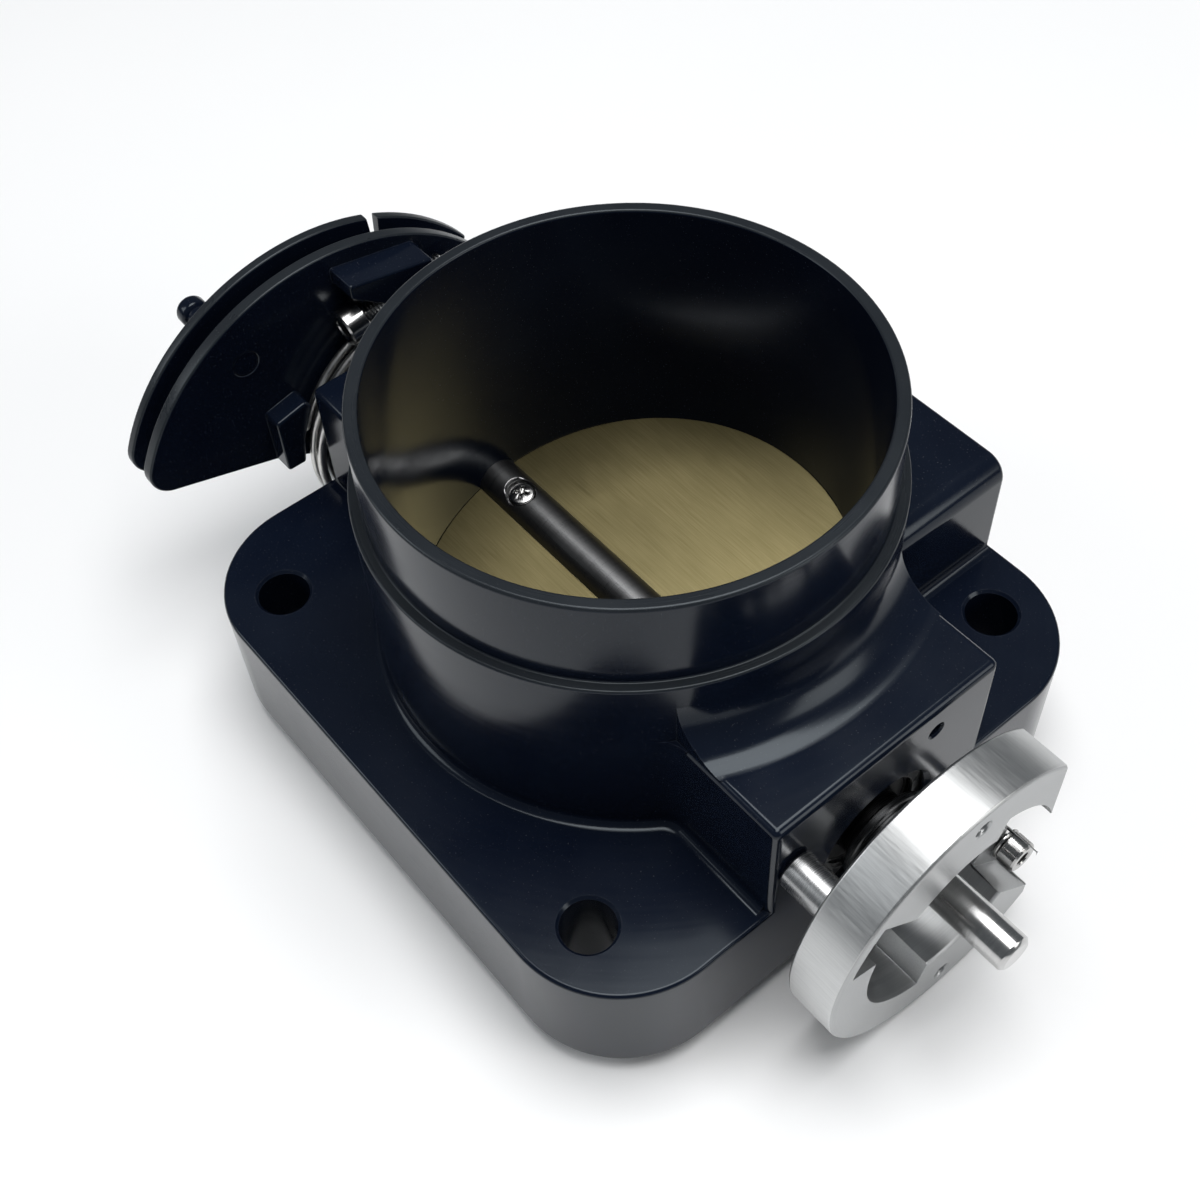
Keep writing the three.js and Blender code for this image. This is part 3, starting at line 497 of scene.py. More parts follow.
block_outline = [
    (BASE + 2, -BLOCK_HALF), *arc(BLOCK_TOP - 5, 5 - BLOCK_HALF, 5, -90, 0, 8),
    *arc(BLOCK_TOP - 5, BLOCK_HALF - 5, 5, 0, 90, 8), (BASE + 2, BLOCK_HALF),
]
rear_block = extruded("rear_block", block_outline, 2, HALF_Y, "Y", 1.2)

# Small concave fillets where the bosses and the rear block stand on the flange.
root_fillets = []
for side in (-1, 1):
    wall = side * BOSS_HALF
    outline = [(wall - side, FLANGE_TOP - 0.5), (wall + side * FOOT, FLANGE_TOP - 0.5)]
    outline += [
        (wall + side * (FOOT - u), v)
        for u, v in arc(0, FLANGE_TOP + FOOT, FOOT, 270, 360, 5)
    ] + [(wall - side, FLANGE_TOP + FOOT)]
    root_fillets.append(extruded("boss_root", outline, -HALF_X + 1.6, HALF_X - 1.6, "X"))
    wall = side * BLOCK_HALF
    outline = [(FLANGE_TOP - 0.5, wall - side), (FLANGE_TOP - 0.5, wall + side * FOOT)]
    outline += [
        (v, wall + side * (FOOT - u))
        for u, v in arc(0, FLANGE_TOP + FOOT, FOOT, 270, 360, 5)
    ] + [(FLANGE_TOP + FOOT, wall - side)]
    root_fillets.append(extruded("block_root", outline, 30, HALF_Y - 1.2, "Y"))


def corner_fillet(sign_x, sign_y, radius):
    """The milled corner between the barrel and a boss's side, with its foot on the flange."""
    v = BOSS_HALF + radius
    u = math.sqrt((BARREL + radius) ** 2 - v ** 2)
    lean = math.degrees(math.atan2(-v, -u))
    web = [
        (u - 6, BOSS_HALF - 3), (u, BOSS_HALF - 3), *arc(u, v, radius, -90, lean, 10),
        (u - 9, v - radius - 1),
    ]
    wall = extruded(
        "corner_wall", [(sign_x * a, sign_y * b) for a, b in web], FLANGE_TOP - 1, BOSS_TOP - 0.3, "Z",
    )
    rise = FLANGE_TOP + FOOT
    ring = turned("corner_foot", [
        (radius + 1, rise), (radius + 1, FLANGE_TOP - 0.5), (radius - FOOT, FLANGE_TOP - 0.5),
        *arc(radius - FOOT, rise, FOOT, 270, 360, 6),
    ], centre=(sign_x * u, sign_y * v, 0), segments=96)
    far = [
        (u, v), (u, v - 12), (u - 12, v - 12),
        (u + 12 * math.cos(math.radians(lean)), v + 12 * math.sin(math.radians(lean))),
    ]
    keep = extruded("keep", [(sign_x * a, sign_y * b) for a, b in far], FLANGE_TOP - 1, rise + 1, "Z")
    return [wall, machined(ring, [keep], "INTERSECT")]


corners = [piece for x in (-1, 1) for y, radius in ((-1, 6), (1, 5)) for piece in corner_fillet(x, y, radius)]

# The stop post stands on the cable-side boss, square to the stop screw and just off its tip.
TILT = math.radians(8)
screw_head = Vector((-14.5, SHAFT_Z + 32.2))
screw_way = Vector((math.cos(TILT), math.sin(TILT)))
SCREW_X = -77.9
HEAD_LENGTH, SCREW_LENGTH = 5, 22
contact = screw_head + screw_way * (HEAD_LENGTH + SCREW_LENGTH + 0.3)
lift = Vector((-screw_way.y, screw_way.x))
post_top, post_foot = contact - lift * 0.6, contact - lift * 7
post_back = post_top.x + 4.2
arm = extruded(
    "stop_arm", [post_foot, (post_back, post_foot.y), (post_back, post_top.y), post_top],
    housing_low.x, -66, "X", 0.5,
)
stem = extruded(
    "stop_stem", [(post_foot.x, BOSS_TOP - 3), (post_back, BOSS_TOP - 3), (post_back, post_top.y), post_top],
    1 - HALF_X, -64, "X", 0.5,
)
machined(housing, [barrel, bosses, fillets, rear_block, *root_fillets, *corners, stem, arm], "UNION")

bore = turned("bore", [
    (0, BASE - 1), (BORE + 0.5, BASE - 1), (BORE + 0.5, BASE), (BORE, BASE + 0.5), (BORE, BORE_STRAIGHT_TOP),
    (RIM_BORE, RIM - 0.6), *arc(RIM_BORE + 0.6, RIM - 0.6, 0.6, 180, 90, 3), (RIM_BORE + 0.6, RIM + 1),
    (0, RIM + 1),
], segments=ROUND)


def on_shaft(name, profile, segments):
    """A body turned about the throttle shaft. The profile is (radius, x) pairs."""
    return turned(name, profile, "X", (0, 0, SHAFT_Z), segments)


def tunnel(side):
    """The shaft's way through a boss: running hole, seats for seal and bearing, circlip groove."""
    mouth = BEARING_SEAT + 0.3
    profile = [
        (0, BORE - 4), (SHAFT_WAY, BORE - 4), (SHAFT_WAY, SEAL_X), (SEAL_SEAT, SEAL_X),
        (SEAL_SEAT, BEARING_X), (BEARING_SEAT, BEARING_X), (BEARING_SEAT, CLIP_X), (CLIP_SEAT, CLIP_X),
        (CLIP_SEAT, CLIP_END_X), (mouth, CLIP_END_X), (mouth, HALF_X - 0.9), (CLIP_SEAT, HALF_X),
        (CLIP_SEAT, HALF_X + 1), (0, HALF_X + 1),
    ]
    return on_shaft("tunnel", [(r, side * x) for r, x in profile], 80)


def hole_x(radius, low, high, place, chamfer=0.4, segments=32):
    """A drilled hole along X from low to the face at high, with its mouth chamfered."""
    way = 1 if high > low else -1
    profile = [
        (0, low), (radius, low), (radius, high - way * chamfer), (radius + chamfer, high),
        (radius + chamfer, high + way), (0, high + way),
    ]
    return turned("hole", profile, "X", (0, *place), segments)


def on_circle(radius, degrees):
    """A place on a circle about the shaft, as (y, z)."""
    angle = math.radians(degrees)
    return radius * math.cos(angle), SHAFT_Z + radius * math.sin(angle)


bolt_holes = [
    turned("bolt_hole", [
        (0, BASE - 1), (BOLT_R + 0.5, BASE - 1), (BOLT_R + 0.5, BASE), (BOLT_R, BASE + 0.5),
        (BOLT_R, FLANGE_TOP - 0.6), (BOLT_R + 0.6, FLANGE_TOP), (BOLT_R + 0.6, FLANGE_TOP + 1),
        (0, FLANGE_TOP + 1),
    ], centre=(x, y, 0), segments=64)
    for x in (-BOLT_X, BOLT_X) for y in (-BOLT_Y, BOLT_Y)
]
groove = turned("groove", [
    (O_RING - 1.6, BASE - 1), (O_RING + 1.6, BASE - 1), (O_RING + 1.6, BASE + 3.2),
    (O_RING - 1.6, BASE + 3.2),
], segments=ROUND)
standoff_holes = [
    hole_x(2.5, HALF_X - 9, HALF_X, on_circle(STANDOFF_CIRCLE, angle)) for angle in STANDOFFS.values()
]
small_hole = hole_x(1.7, HALF_X - 8, HALF_X, on_circle(24.6, 60))
spring_leg_hole = hole_x(2.2, 4.5 - HALF_X, -HALF_X, on_circle(SPRING_R, SPRING_START + 2), 0.2)
stop_pin_hole = hole_x(PIN_ROOM, 7 - HALF_X, -HALF_X, on_circle(PIN_CIRCLE, 270), 0.2)
machined(housing, [
    bore, tunnel(1), tunnel(-1), groove, *bolt_holes, *standoff_holes,
    small_hole, spring_leg_hole, stop_pin_hole,
])
finished(housing, housing_black, "housing", "throttle_housing")
# Upward faces of the neck's rim and ledge take the second slot: the black with its greyer base painted in as
# sheen.
housing.data.materials.append(sheen_painted_black)
for face in housing.data.polygons:
    across = math.hypot(face.center.x, face.center.y) / MM
    height = face.center.z / MM
    if face.normal.z > 0.3 and (height > RIM - 1 or (abs(height - LEDGE) < 0.7 and across < BARREL)):
        face.material_index = 1

# ---- Flange seal ----
# A black rubber ring of round section, in a groove round the bore.


def rubber(name):
    def colour(tree):
        touch = placed(tree, handling, Size=150.0)
        return blended(tree, touch["Smudge"], (0.010, 0.010, 0.011), (0.022, 0.022, 0.023))

    def roughness(tree):
        return ranged(tree, placed(tree, handling, Size=300.0)["Smudge"], 0.45, 0.62)

    def height(tree):
        return placed(tree, brushed_lines, Fineness=(1800, 1800, 1800))["Lines"]

    return surface(name, colour, roughness, height, 0.01)


seal_rubber = rubber("moulded_rubber")
o_ring = turned("flange_o_ring_moulded", [
    *arc(O_RING, BASE + O_RING_WIRE, O_RING_WIRE, 0, 345, 23),
], segments=128)
finished(o_ring, seal_rubber, "housing", "flange_o_ring", crease=60)

# ---- Bearings, seals and circlips ----
# A shielded ball bearing is pressed into each boss behind a spring-steel circlip, with a lip seal
# on its bore side. They are bought-in parts, and little of them shows past the shaft.


def bare_metal(name, dark, light, smooth, rough, marks, depth, grime=0.25):
    """Bare metal. marks draws its grain, smooth and rough bound its sheen, and grime dulls it."""
    def colour(tree):
        base = blended(tree, ranged(tree, marks(tree), 0, 1, 0.3, 0.7), dark, light)
        touch = placed(tree, handling, Size=120.0)
        dull = [channel * 0.8 for channel in dark]
        return blended(tree, math_node(tree, "MULTIPLY", touch["Smudge"], grime), base, dull)

    def roughness(tree):
        worn = placed(tree, edge_wear, Width=0.0003, Cover=1.0)["Worn"]
        sheen = ranged(tree, marks(tree), smooth, rough, 0.3, 0.7)
        return math_node(tree, "SUBTRACT", sheen, math_node(tree, "MULTIPLY", worn, 0.08))

    return surface(name, colour, roughness, marks, depth, Metallic=1.0)


def fine_rings(tree):
    """Turning marks round a slim turned part that lies along X."""
    return placed(tree, brushed_lines, Fineness=(15000, 150, 150))["Lines"]


def shaft_rings(density):
    """Turning marks about the throttle shaft."""
    centre = (0, 0, SHAFT_Z * MM)
    return lambda tree: placed(tree, turning_marks, Centre=centre, Axis=(1, 0, 0), Density=density)["Rings"]


def dressed(material, *names):
    """Gives CAD pieces whose shape is already right their real finish."""
    for name in names:
        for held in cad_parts[name].material_slots:
            held.material = material


ground_steel = bare_metal(
    "ground_steel", (0.40, 0.395, 0.39), (0.48, 0.475, 0.465), 0.16, 0.24, fine_rings, 0.0005,
)
oiled_steel = bare_metal(
    "oiled_spring_steel", (0.055, 0.056, 0.058), (0.085, 0.086, 0.088), 0.2, 0.32, fine_rings, 0.0004, 0.3,
)
dressed(
    ground_steel,
    "sensor_side_bearing_outer_race", "sensor_side_bearing_inner_race", "sensor_side_bearing_balls",
    "cable_side_bearing_outer_race", "cable_side_bearing_inner_race", "cable_side_bearing_balls",
)
dressed(seal_rubber, "sensor_side_shaft_seal", "cable_side_shaft_seal")
for side, name in ((1, "sensor_side"), (-1, "cable_side")):
    near, far = side * (CLIP_X + 0.15), side * (CLIP_END_X - 0.15)
    clip = on_shaft(name + "_circlip_sprung", [
        (11.2, near), (14.2, near), (14.2, far), (11.2, far),
    ], 72)
    gap = turned("gap", [
        (0, near - side), (3, near - side), (3, far + side), (0, far + side),
    ], "X", (0, *on_circle(12.5, 250)), 24)
    machined(clip, [gap])
    finished(clip, oiled_steel, "housing", name + "_circlip", edge=0.12)
    near, far = side * 67.3, side * 67.9
    shield = on_shaft(name + "_bearing_shield", [
        (7.5, near), (10.6, near), (10.6, far - side * 0.2), (10.2, far), (7.9, far), (7.5, far - side * 0.2),
    ], 80)
    shield.data.materials.append(seal_rubber)
    shield.data.shade_smooth()
    shield.data.set_sharp_from_angle(angle=math.radians(32))
    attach(shield, "housing")

# ---- Shaft, butterfly plate and its screws ----
# The shaft is ground steel with a dark finish, slotted for a brushed brass-coloured plate. Two
# cross-head screws hold the plate in the slot, each head sunk in a round seat.

PLATE_TILT = math.radians(10)
PLATE = 2.5
SHAFT_R, STUB_R = 5, 4
PLATE_SCREW_X, PLATE_SCREW_WAY = 37, 1.75
shaft_low, shaft_high = span("throttle_shaft")
wheel_end = span("cable_wheel")[0].x


def leaned(made):
    """Turned about the shaft to the plate's closed angle."""
    about = Matrix.Translation((0, 0, SHAFT_Z * MM))
    made.data.transform(about @ Matrix.Rotation(PLATE_TILT, 4, "X") @ about.inverted())
    return made


# The cable end is threaded for the wheel's nut.
thread = [(STUB_R - (0.45 if i % 2 else 0), shaft_low.x + 0.9 + 0.4 * i) for i in range(19)]
shaft = on_shaft("throttle_shaft_ground", [
    (0, shaft_low.x), (STUB_R - 0.8, shaft_low.x), *thread, (STUB_R, wheel_end + 0.5),
    (SHAFT_R, wheel_end + 0.5), (SHAFT_R, 77.6), (SHAFT_R - 0.4, 78), (STUB_R, 78),
    (STUB_R, shaft_high.x - 0.8),
    (STUB_R - 0.8, shaft_high.x), (0, shaft_high.x),
], 64)
slot_half = PLATE / 2 + 0.05
seats = []
for end in (-1, 1):
    x = end * PLATE_SCREW_X
    seats.append(leaned(turned("seat", [
        (0, SHAFT_Z + 2.1), (3.5, SHAFT_Z + 2.1), (3.5, SHAFT_Z + 4.1), (3.9, SHAFT_Z + 4.5),
        (3.9, SHAFT_Z + 6), (0, SHAFT_Z + 6),
    ], "Z", (x, 0, 0), 48)))
    seats.append(leaned(turned("screw_hole", [
        (0, SHAFT_Z - 6), (PLATE_SCREW_WAY, SHAFT_Z - 6), (PLATE_SCREW_WAY, SHAFT_Z + 6), (0, SHAFT_Z + 6),
    ], "Z", (x, 0, 0), 24)))
slot = leaned(block("slot", (0.5 - BORE, -6, SHAFT_Z - slot_half), (BORE - 0.5, 6, SHAFT_Z + slot_half)))
machined(shaft, [slot, *seats])
dark_shaft = bare_metal(
    "dark_ground_shaft", (0.31, 0.31, 0.315), (0.35, 0.35, 0.35), 0.27, 0.36, fine_rings, 0.0002, 0.2,
)
bright_stub = bare_metal(
    "bright_shaft_stub", (0.50, 0.50, 0.495), (0.64, 0.635, 0.63), 0.14, 0.24, fine_rings, 0.0006, 0.2,
)
finished(shaft, dark_shaft, "throttle", "throttle_shaft", edge=0.12)
shaft.data.materials.append(bright_stub)
for face in shaft.data.polygons:
    if face.center.x > 76 * MM:
        face.material_index = 1


def plate_grain(tree):
    """Brushed across the bore, along the shaft, with a few longer scratches."""
    fine = placed(tree, brushed_lines, Fineness=(110, 5600, 5600))["Lines"]
    long_marks = placed(tree, brushed_lines, Fineness=(25, 2600, 2600))["Lines"]
    return math_node(
        tree, "ADD", math_node(tree, "MULTIPLY", fine, 0.8), math_node(tree, "MULTIPLY", long_marks, 0.2),
    )


brushed_brass = bare_metal(
    "brushed_brass", (0.205, 0.172, 0.080), (0.275, 0.234, 0.118), 0.3, 0.4, plate_grain, 0.003, 0.15,
)
slab = leaned(
    block("butterfly_plate_brushed", (-60, -60, SHAFT_Z - PLATE / 2), (60, 60, SHAFT_Z + PLATE / 2)),
)
reach = BORE - 0.04
round_bore = turned("round", [(0, BASE), (reach, BASE), (reach, RIM), (0, RIM)], segments=ROUND)
ends = block("ends", (0.1 - BORE, -60, 0), (BORE - 0.1, 60, RIM))
machined(slab, [round_bore, ends], "INTERSECT")
machined(slab, [
    leaned(turned("hole", [
        (0, SHAFT_Z - 4), (PLATE_SCREW_WAY, SHAFT_Z - 4), (PLATE_SCREW_WAY, SHAFT_Z + 4), (0, SHAFT_Z + 4),
    ], "Z", (end * PLATE_SCREW_X, 0, 0), 24))
    for end in (-1, 1)
])
finished(slab, brushed_brass, "throttle", "butterfly_plate", edge=0.15)

for end, name in ((-1, "cable_side"), (1, "sensor_side")):
    seat = SHAFT_Z + 2.4
    screw = turned("plate_screw_" + name + "_cross_head", [
        (0, SHAFT_Z - 4.6), (1.2, SHAFT_Z - 4.6), (1.5, SHAFT_Z - 4.3), (1.5, seat), (2.9, seat),
        (3.1, seat + 0.2), (3.1, seat + 0.9), *arc(2.3, seat + 0.9, 0.8, 0, 75, 4), (0, seat + 2.1),
    ], "Z", segments=48)
    recess = [
        block("recess", (-1.7, -0.42, seat + 0.8), (1.7, 0.42, seat + 3)),
        block("recess", (-0.42, -1.7, seat + 0.8), (0.42, 1.7, seat + 3)),
        turned("recess", [(0, seat + 0.5), (0.3, seat + 0.5), (1.05, seat + 3), (0, seat + 3)], segments=24),
    ]
    machined(screw, recess)
    screw.data.transform(Matrix.Translation((end * PLATE_SCREW_X * MM, 0, 0)) @ Matrix.Rotation(0.6, 4, "Z"))
    finished(leaned(screw), ground_steel, "throttle", "plate_screw_" + name, edge=0.08)

# ---- Sensor side: collar, standoffs and the clamped sensor ring ----
# The position sensor bolts to a bright aluminium ring. Two screws clamp the ring on standoffs, in
# short curved slots so that it can be turned a few degrees. Two lobes widen the hole in the ring.


def cap_screw(name, place, way, head, shank, socket):
    """A socket-head cap screw with a knurled head and a helical thread, pointing along way.

    head is its radius and length, shank its radius, length and pitch, and socket the hexagon's
    radius. Each row of points is a radius, a height and a kind: plain, knurled or threaded.
    """
    plain, knurled, threaded = range(3)
    head_r, head_length = head
    shank_r, shank_length, pitch = shank
    knurls = 44
    bm = bmesh.new()
    rows = [
        (0, 0, plain), (head_r - 0.4, 0, plain), (head_r, 0.4, plain), (head_r, 0.5, plain),
        (head_r, 0.8, knurled), (head_r, head_length - 0.5, knurled), (head_r, head_length - 0.2, plain),
        (head_r - 0.2, head_length, plain), (shank_r, head_length, plain),
    ]
    steps = round(shank_length / pitch * 5)
    rows += [(shank_r, head_length + shank_length * i / steps, threaded) for i in range(1, steps)]
    rows += [(shank_r - 0.6, head_length + shank_length, plain), (0, head_length + shank_length, plain)]
    count = 2 * knurls
    rings = []
    for radius, height, kind in rows:
        ring = []
        for i in range(count if radius else 1):
            depth = 0.1 * (i % 2) if kind == knurled else 0
            if kind == threaded:
                phase = (height / pitch + i / count) % 1
                depth = 0.55 * pitch * (1 - abs(2 * phase - 1))
            angle = 2 * math.pi * i / count
            across = radius - depth
            spot = Vector((across * math.cos(angle), across * math.sin(angle), height))
            ring.append(bm.verts.new(spot * MM))
        rings.append(ring)
    skinned(bm, rings, count)
    made = as_object(name, bm)
    hexagon = turned(
        "hexagon", [(0, -1), (socket, -1), (socket, head_length / 2), (0, head_length / 2 + 0.5)], segments=6,
    )
    lead_in = turned("lead_in", [(0, -1), (socket + 1.1, -1), (socket - 0.05, 0.25), (0, 0.25)], segments=32)
    machined(made, [hexagon, lead_in])
    turn = Vector(way).to_track_quat("Z", "Y").to_matrix().to_4x4()
    made.data.transform(Matrix.Translation(Vector(place) * MM) @ turn)
    return made


collar_end = span("sensor_side_collar")[1].x
ring_low, ring_high = span("sensor_ring")
RING_R = SHAFT_Z - ring_low.z
RING_HOLE = 17.8
LOBE = 24
POCKET_R, POCKET_FLOOR = 30.4, 3.6
SLOT_SWING, SLOT_HALF = 4, 2.35
TAPPED_CIRCLE, TAPPED_R = 28, 1.7

turned_aluminium = bare_metal(
    "turned_aluminium", (0.38, 0.387, 0.39), (0.45, 0.457, 0.46),
    0.34, 0.44, shaft_rings(2600.0), 0.002, 0.15,
)
turned_fitting = bare_metal(
    "turned_fitting", (0.42, 0.422, 0.425), (0.45, 0.452, 0.455), 0.24, 0.3, fine_rings, 0.0002, 0.2,
)
collar = on_shaft("sensor_side_collar_turned", [
    (5.3, 68.5), (7.3, 68.5), (7.3, HALF_X + 0.6), (9.6, HALF_X + 0.6), (10, HALF_X + 1), (10, HALF_X + 2.2),
    (9.7, HALF_X + 2.5), (9.7, HALF_X + 2.9), (10, HALF_X + 3.2), (10, collar_end - 0.5),
    (9.5, collar_end), (5.8, collar_end), (5.3, collar_end - 0.5),
], 80)
finished(collar, oiled_steel, "throttle", "sensor_side_collar")


def band_grain(tree):
    """Fine lines along the shaft on the ring's rim, from its last light sanding."""
    return placed(tree, brushed_lines, Fineness=(160, 3200, 3200))["Lines"]


# The rim and the flat take a lighter base than the ring's faces. Their sanding grain is their own; their
# lighter tone is painted highlight for the light they catch.
sanded_aluminium_painted_sheen = bare_metal(
    "sanded_aluminium_painted_sheen", (0.54, 0.546, 0.545), (0.63, 0.637, 0.635), 0.32, 0.42, band_grain, 0.002, 0.12,
)
back, front = ring_low.x, ring_high.x
ring = on_shaft("sensor_ring_machined", [
    (0, back), (RING_R - 0.5, back), (RING_R, back + 0.5), (RING_R, front - 0.5), (RING_R - 0.5, front),
    (0, front),
], ROUND)
cuts = [
    block("flat", (back - 1, ring_high.y, -2), (front + 1, ring_high.y + 20, 80)),
    on_shaft("hole", [
        (0, back - 1), (RING_HOLE, back - 1), (RING_HOLE, front - 0.5), (RING_HOLE + 0.5, front),
        (RING_HOLE + 0.5, front + 1), (0, front + 1),
    ], 128),
]
for angle in STANDOFFS.values():
    lobe = [(0, SHAFT_Z), *arc(0, SHAFT_Z, LOBE, angle + 10, angle + 101, 40)]
    cuts.append(extruded("lobe", lobe, back - 1, front + 1))
    pocket = [(0, SHAFT_Z), *arc(0, SHAFT_Z, POCKET_R, angle - 12, angle + 12, 14)]
    cuts.append(extruded("pocket", pocket, back + POCKET_FLOOR, front + 1))
    first, last = angle - SLOT_SWING, angle + SLOT_SWING
    kidney = [
        *arc(*on_circle(STANDOFF_CIRCLE, last), SLOT_HALF, last, last + 180, 10),
        *arc(*on_circle(STANDOFF_CIRCLE, first), SLOT_HALF, first + 180, first + 360, 10),
    ]
    cuts.append(extruded("kidney", kidney, back - 1, back + POCKET_FLOOR + 1))
for angle in (90, 270):
    tapped = [(0, back - 1), (TAPPED_R, back - 1)]
    tapped += [(TAPPED_R - (0.22 if i % 2 else 0), back + 0.3 * i) for i in range(1, 35)]
    tapped += [(TAPPED_R, front - 0.4), (TAPPED_R + 0.4, front), (TAPPED_R + 0.4, front + 1), (0, front + 1)]
    cuts.append(turned("tapped", tapped, "X", (0, *on_circle(TAPPED_CIRCLE, angle)), 24))
machined(ring, cuts)
finished(ring, turned_aluminium, "sensor_ring", "sensor_ring", edge=0.2)
# Faces that don't face along the shaft, on the rim and the flat, take the second slot: the sanded aluminium
# with its painted highlight.
ring.data.materials.append(sanded_aluminium_painted_sheen)
for face in ring.data.polygons:
    on_rim = math.hypot(face.center.y, face.center.z - SHAFT_Z * MM) > (RING_R - 1) * MM
    if abs(face.normal.x) < 0.6 and (on_rim or face.center.y > (ring_high.y - 0.2) * MM):
        face.material_index = 1

for where, angle in STANDOFFS.items():
    place = on_circle(STANDOFF_CIRCLE, angle)
    low, high = (corner.x for corner in span("standoff_" + where))
    standoff = turned("standoff_" + where + "_turned", [
        (2.15, low), (3.5, low), (4, low + 0.5), (4, high - 0.5), (3.5, high), (2.15, high),
    ], "X", (0, *place), 56)
    finished(standoff, turned_fitting, "housing", "standoff_" + where)
    low, high = (corner.x for corner in span("ring_washer_" + where))
    washer = turned("ring_washer_" + where + "_stamped", [
        (2.3, low), (3.5, low), (3.6, low + 0.15), (3.6, high - 0.2), (3.4, high), (2.3, high),
    ], "X", (0, *place), 48)
    finished(washer, ground_steel, "housing", "ring_washer_" + where)
    low, high = (corner.x for corner in span("ring_screw_" + where))
    screw = cap_screw(
        "ring_screw_" + where + "_cap_head", (high, *place), (-1, 0, 0), (3.5, 4),
        (1.95, high - low - 4, 0.7), 1.73,
    )
    finished(screw, ground_steel, "housing", "ring_screw_" + where, crease=40)

# ---- Cable wheel, its nut and the cable stud ----
# The throttle cable runs in the groove of a quarter wheel, milled from aluminium and anodised
# black. It sits on the shaft's end under a nut. The stud holds a return cable and is riveted in.

INNER_FLANGE, GROOVE, OUTER_FLANGE = 3, 4.6, 2.4
GROOVE_DEPTH = 6
HUB = 14
WHEEL_ARC = 52.4
ARC_Y, ARC_Z = -15.7, SHAFT_Z - 3.6
stud_low, stud_high = span("cable_stud")
STUD = (stud_low.y + stud_high.y) / 2, (stud_low.z + stud_high.z) / 2
wheel_face = wheel_end + OUTER_FLANGE + GROOVE + INNER_FLANGE
wheel_black = anodised_black("black_anodised_wheel", (0, 0, SHAFT_Z * MM), (1, 0, 0))


def wheel_outline(radius):
    """A quarter wheel: the cable's arc, a round corner, a lower edge that falls, and the hub."""
    fall = math.atan2(-8.2, 25.9)
    corner = 6
    reach = math.sqrt((radius - corner) ** 2 - corner ** 2)
    u = ARC_Y - reach * math.cos(fall) - corner * math.sin(fall)
    v = ARC_Z - reach * math.sin(fall) + corner * math.cos(fall)
    turn = math.degrees(math.atan2(v - ARC_Z, u - ARC_Y))
    return [
        *arc(ARC_Y, ARC_Z, radius, 36, turn, 64),
        *arc(u, v, corner, turn, 270 + math.degrees(fall), 12)[1:],
        (-34.5, SHAFT_Z + 2.35),
        *arc(0, SHAFT_Z, HUB, 242.3, 360, 20),
    ]


groove_top = wheel_face - INNER_FLANGE
groove_foot = groove_top - GROOVE
wheel = extruded("cable_wheel_milled", wheel_outline(WHEEL_ARC), groove_top, wheel_face, rounding=0.5)
core = extruded("core", wheel_outline(WHEEL_ARC - GROOVE_DEPTH), groove_foot - 0.5, groove_top + 0.5)
outer = extruded("outer", wheel_outline(WHEEL_ARC), wheel_end, groove_foot, rounding=0.5)
screw_lug = [
    (u, SHAFT_Z + v) for u, v in ((-12.5, 41.5), (2, 30.4), (10, 30.4), (10, 36), (8, 41.3), (-12.5, 45.2))
]
low_lug = [
    (u, SHAFT_Z + v) for u, v in ((-35, 2.4), (-30.4, 2.4), (-29.2, 9), (-25.8, 17), (-27.2, 19), (-35, 17.2))
]
lugs = [
    extruded("screw_lug", screw_lug, wheel_face - 1, -74.6, rounding=0.7),
    extruded("low_lug", low_lug, wheel_face - 1, -77.5, rounding=0.7),
    on_shaft("hub", [
        (0, wheel_face - 1), (HUB, wheel_face - 1), (HUB, wheel_face + 0.8), (0, wheel_face + 0.8),
    ], 64),
]
machined(wheel, [core, outer, *lugs], "UNION")
cable_slot = [(3.2, ARC_Z + 40), (4.6, ARC_Z + 40), (5.4, ARC_Z + 56), (1.8, ARC_Z + 56)]
middle = screw_head + screw_way * (HEAD_LENGTH + SCREW_LENGTH / 2)
screw_hole = turned("screw_hole", [(0, -22), (2.55, -22), (2.55, 22), (0, 22)], segments=32)
screw_hole.data.transform(
    Matrix.Translation(Vector((SCREW_X, *middle)) * MM)
    @ Vector((0, *screw_way)).to_track_quat("Z", "Y").to_matrix().to_4x4()
)
machined(wheel, [
    extruded("cable_slot", cable_slot, wheel_end - 1, groove_foot + 0.5),
    screw_hole,
    on_shaft("shaft_hole", [
        (0, wheel_end - 1), (5.3, wheel_end - 1), (5.3, wheel_face + 3), (0, wheel_face + 3),
    ], 48),
    turned("stud_hole", [
        (0, wheel_end - 1), (3.05, wheel_end - 1), (3.05, wheel_face - 0.1), (3.15, wheel_face),
        (3.15, wheel_face + 1), (0, wheel_face + 1),
    ], "X", (0, *STUD), 40),
    turned("spring_hole", [
        (0, groove_top - 1), (1.9, groove_top - 1), (1.9, wheel_face + 1), (0, wheel_face + 1),
    ], "X", (0, *on_circle(SPRING_R, SPRING_LEG)), 24),
])
finished(wheel, wheel_black, "throttle", "cable_wheel", edge=0.18)
# Outward faces of the wheel's rim take the second slot: the black with its greyer base painted in as sheen.
wheel.data.materials.append(sheen_painted_black)
for face in wheel.data.polygons:
    across, height = face.center.y / MM - ARC_Y, face.center.z / MM - ARC_Z
    outward = face.normal.y * across + face.normal.z * height
    if outward > 20 and math.hypot(across, height) > WHEEL_ARC - 0.6:
        face.material_index = 1

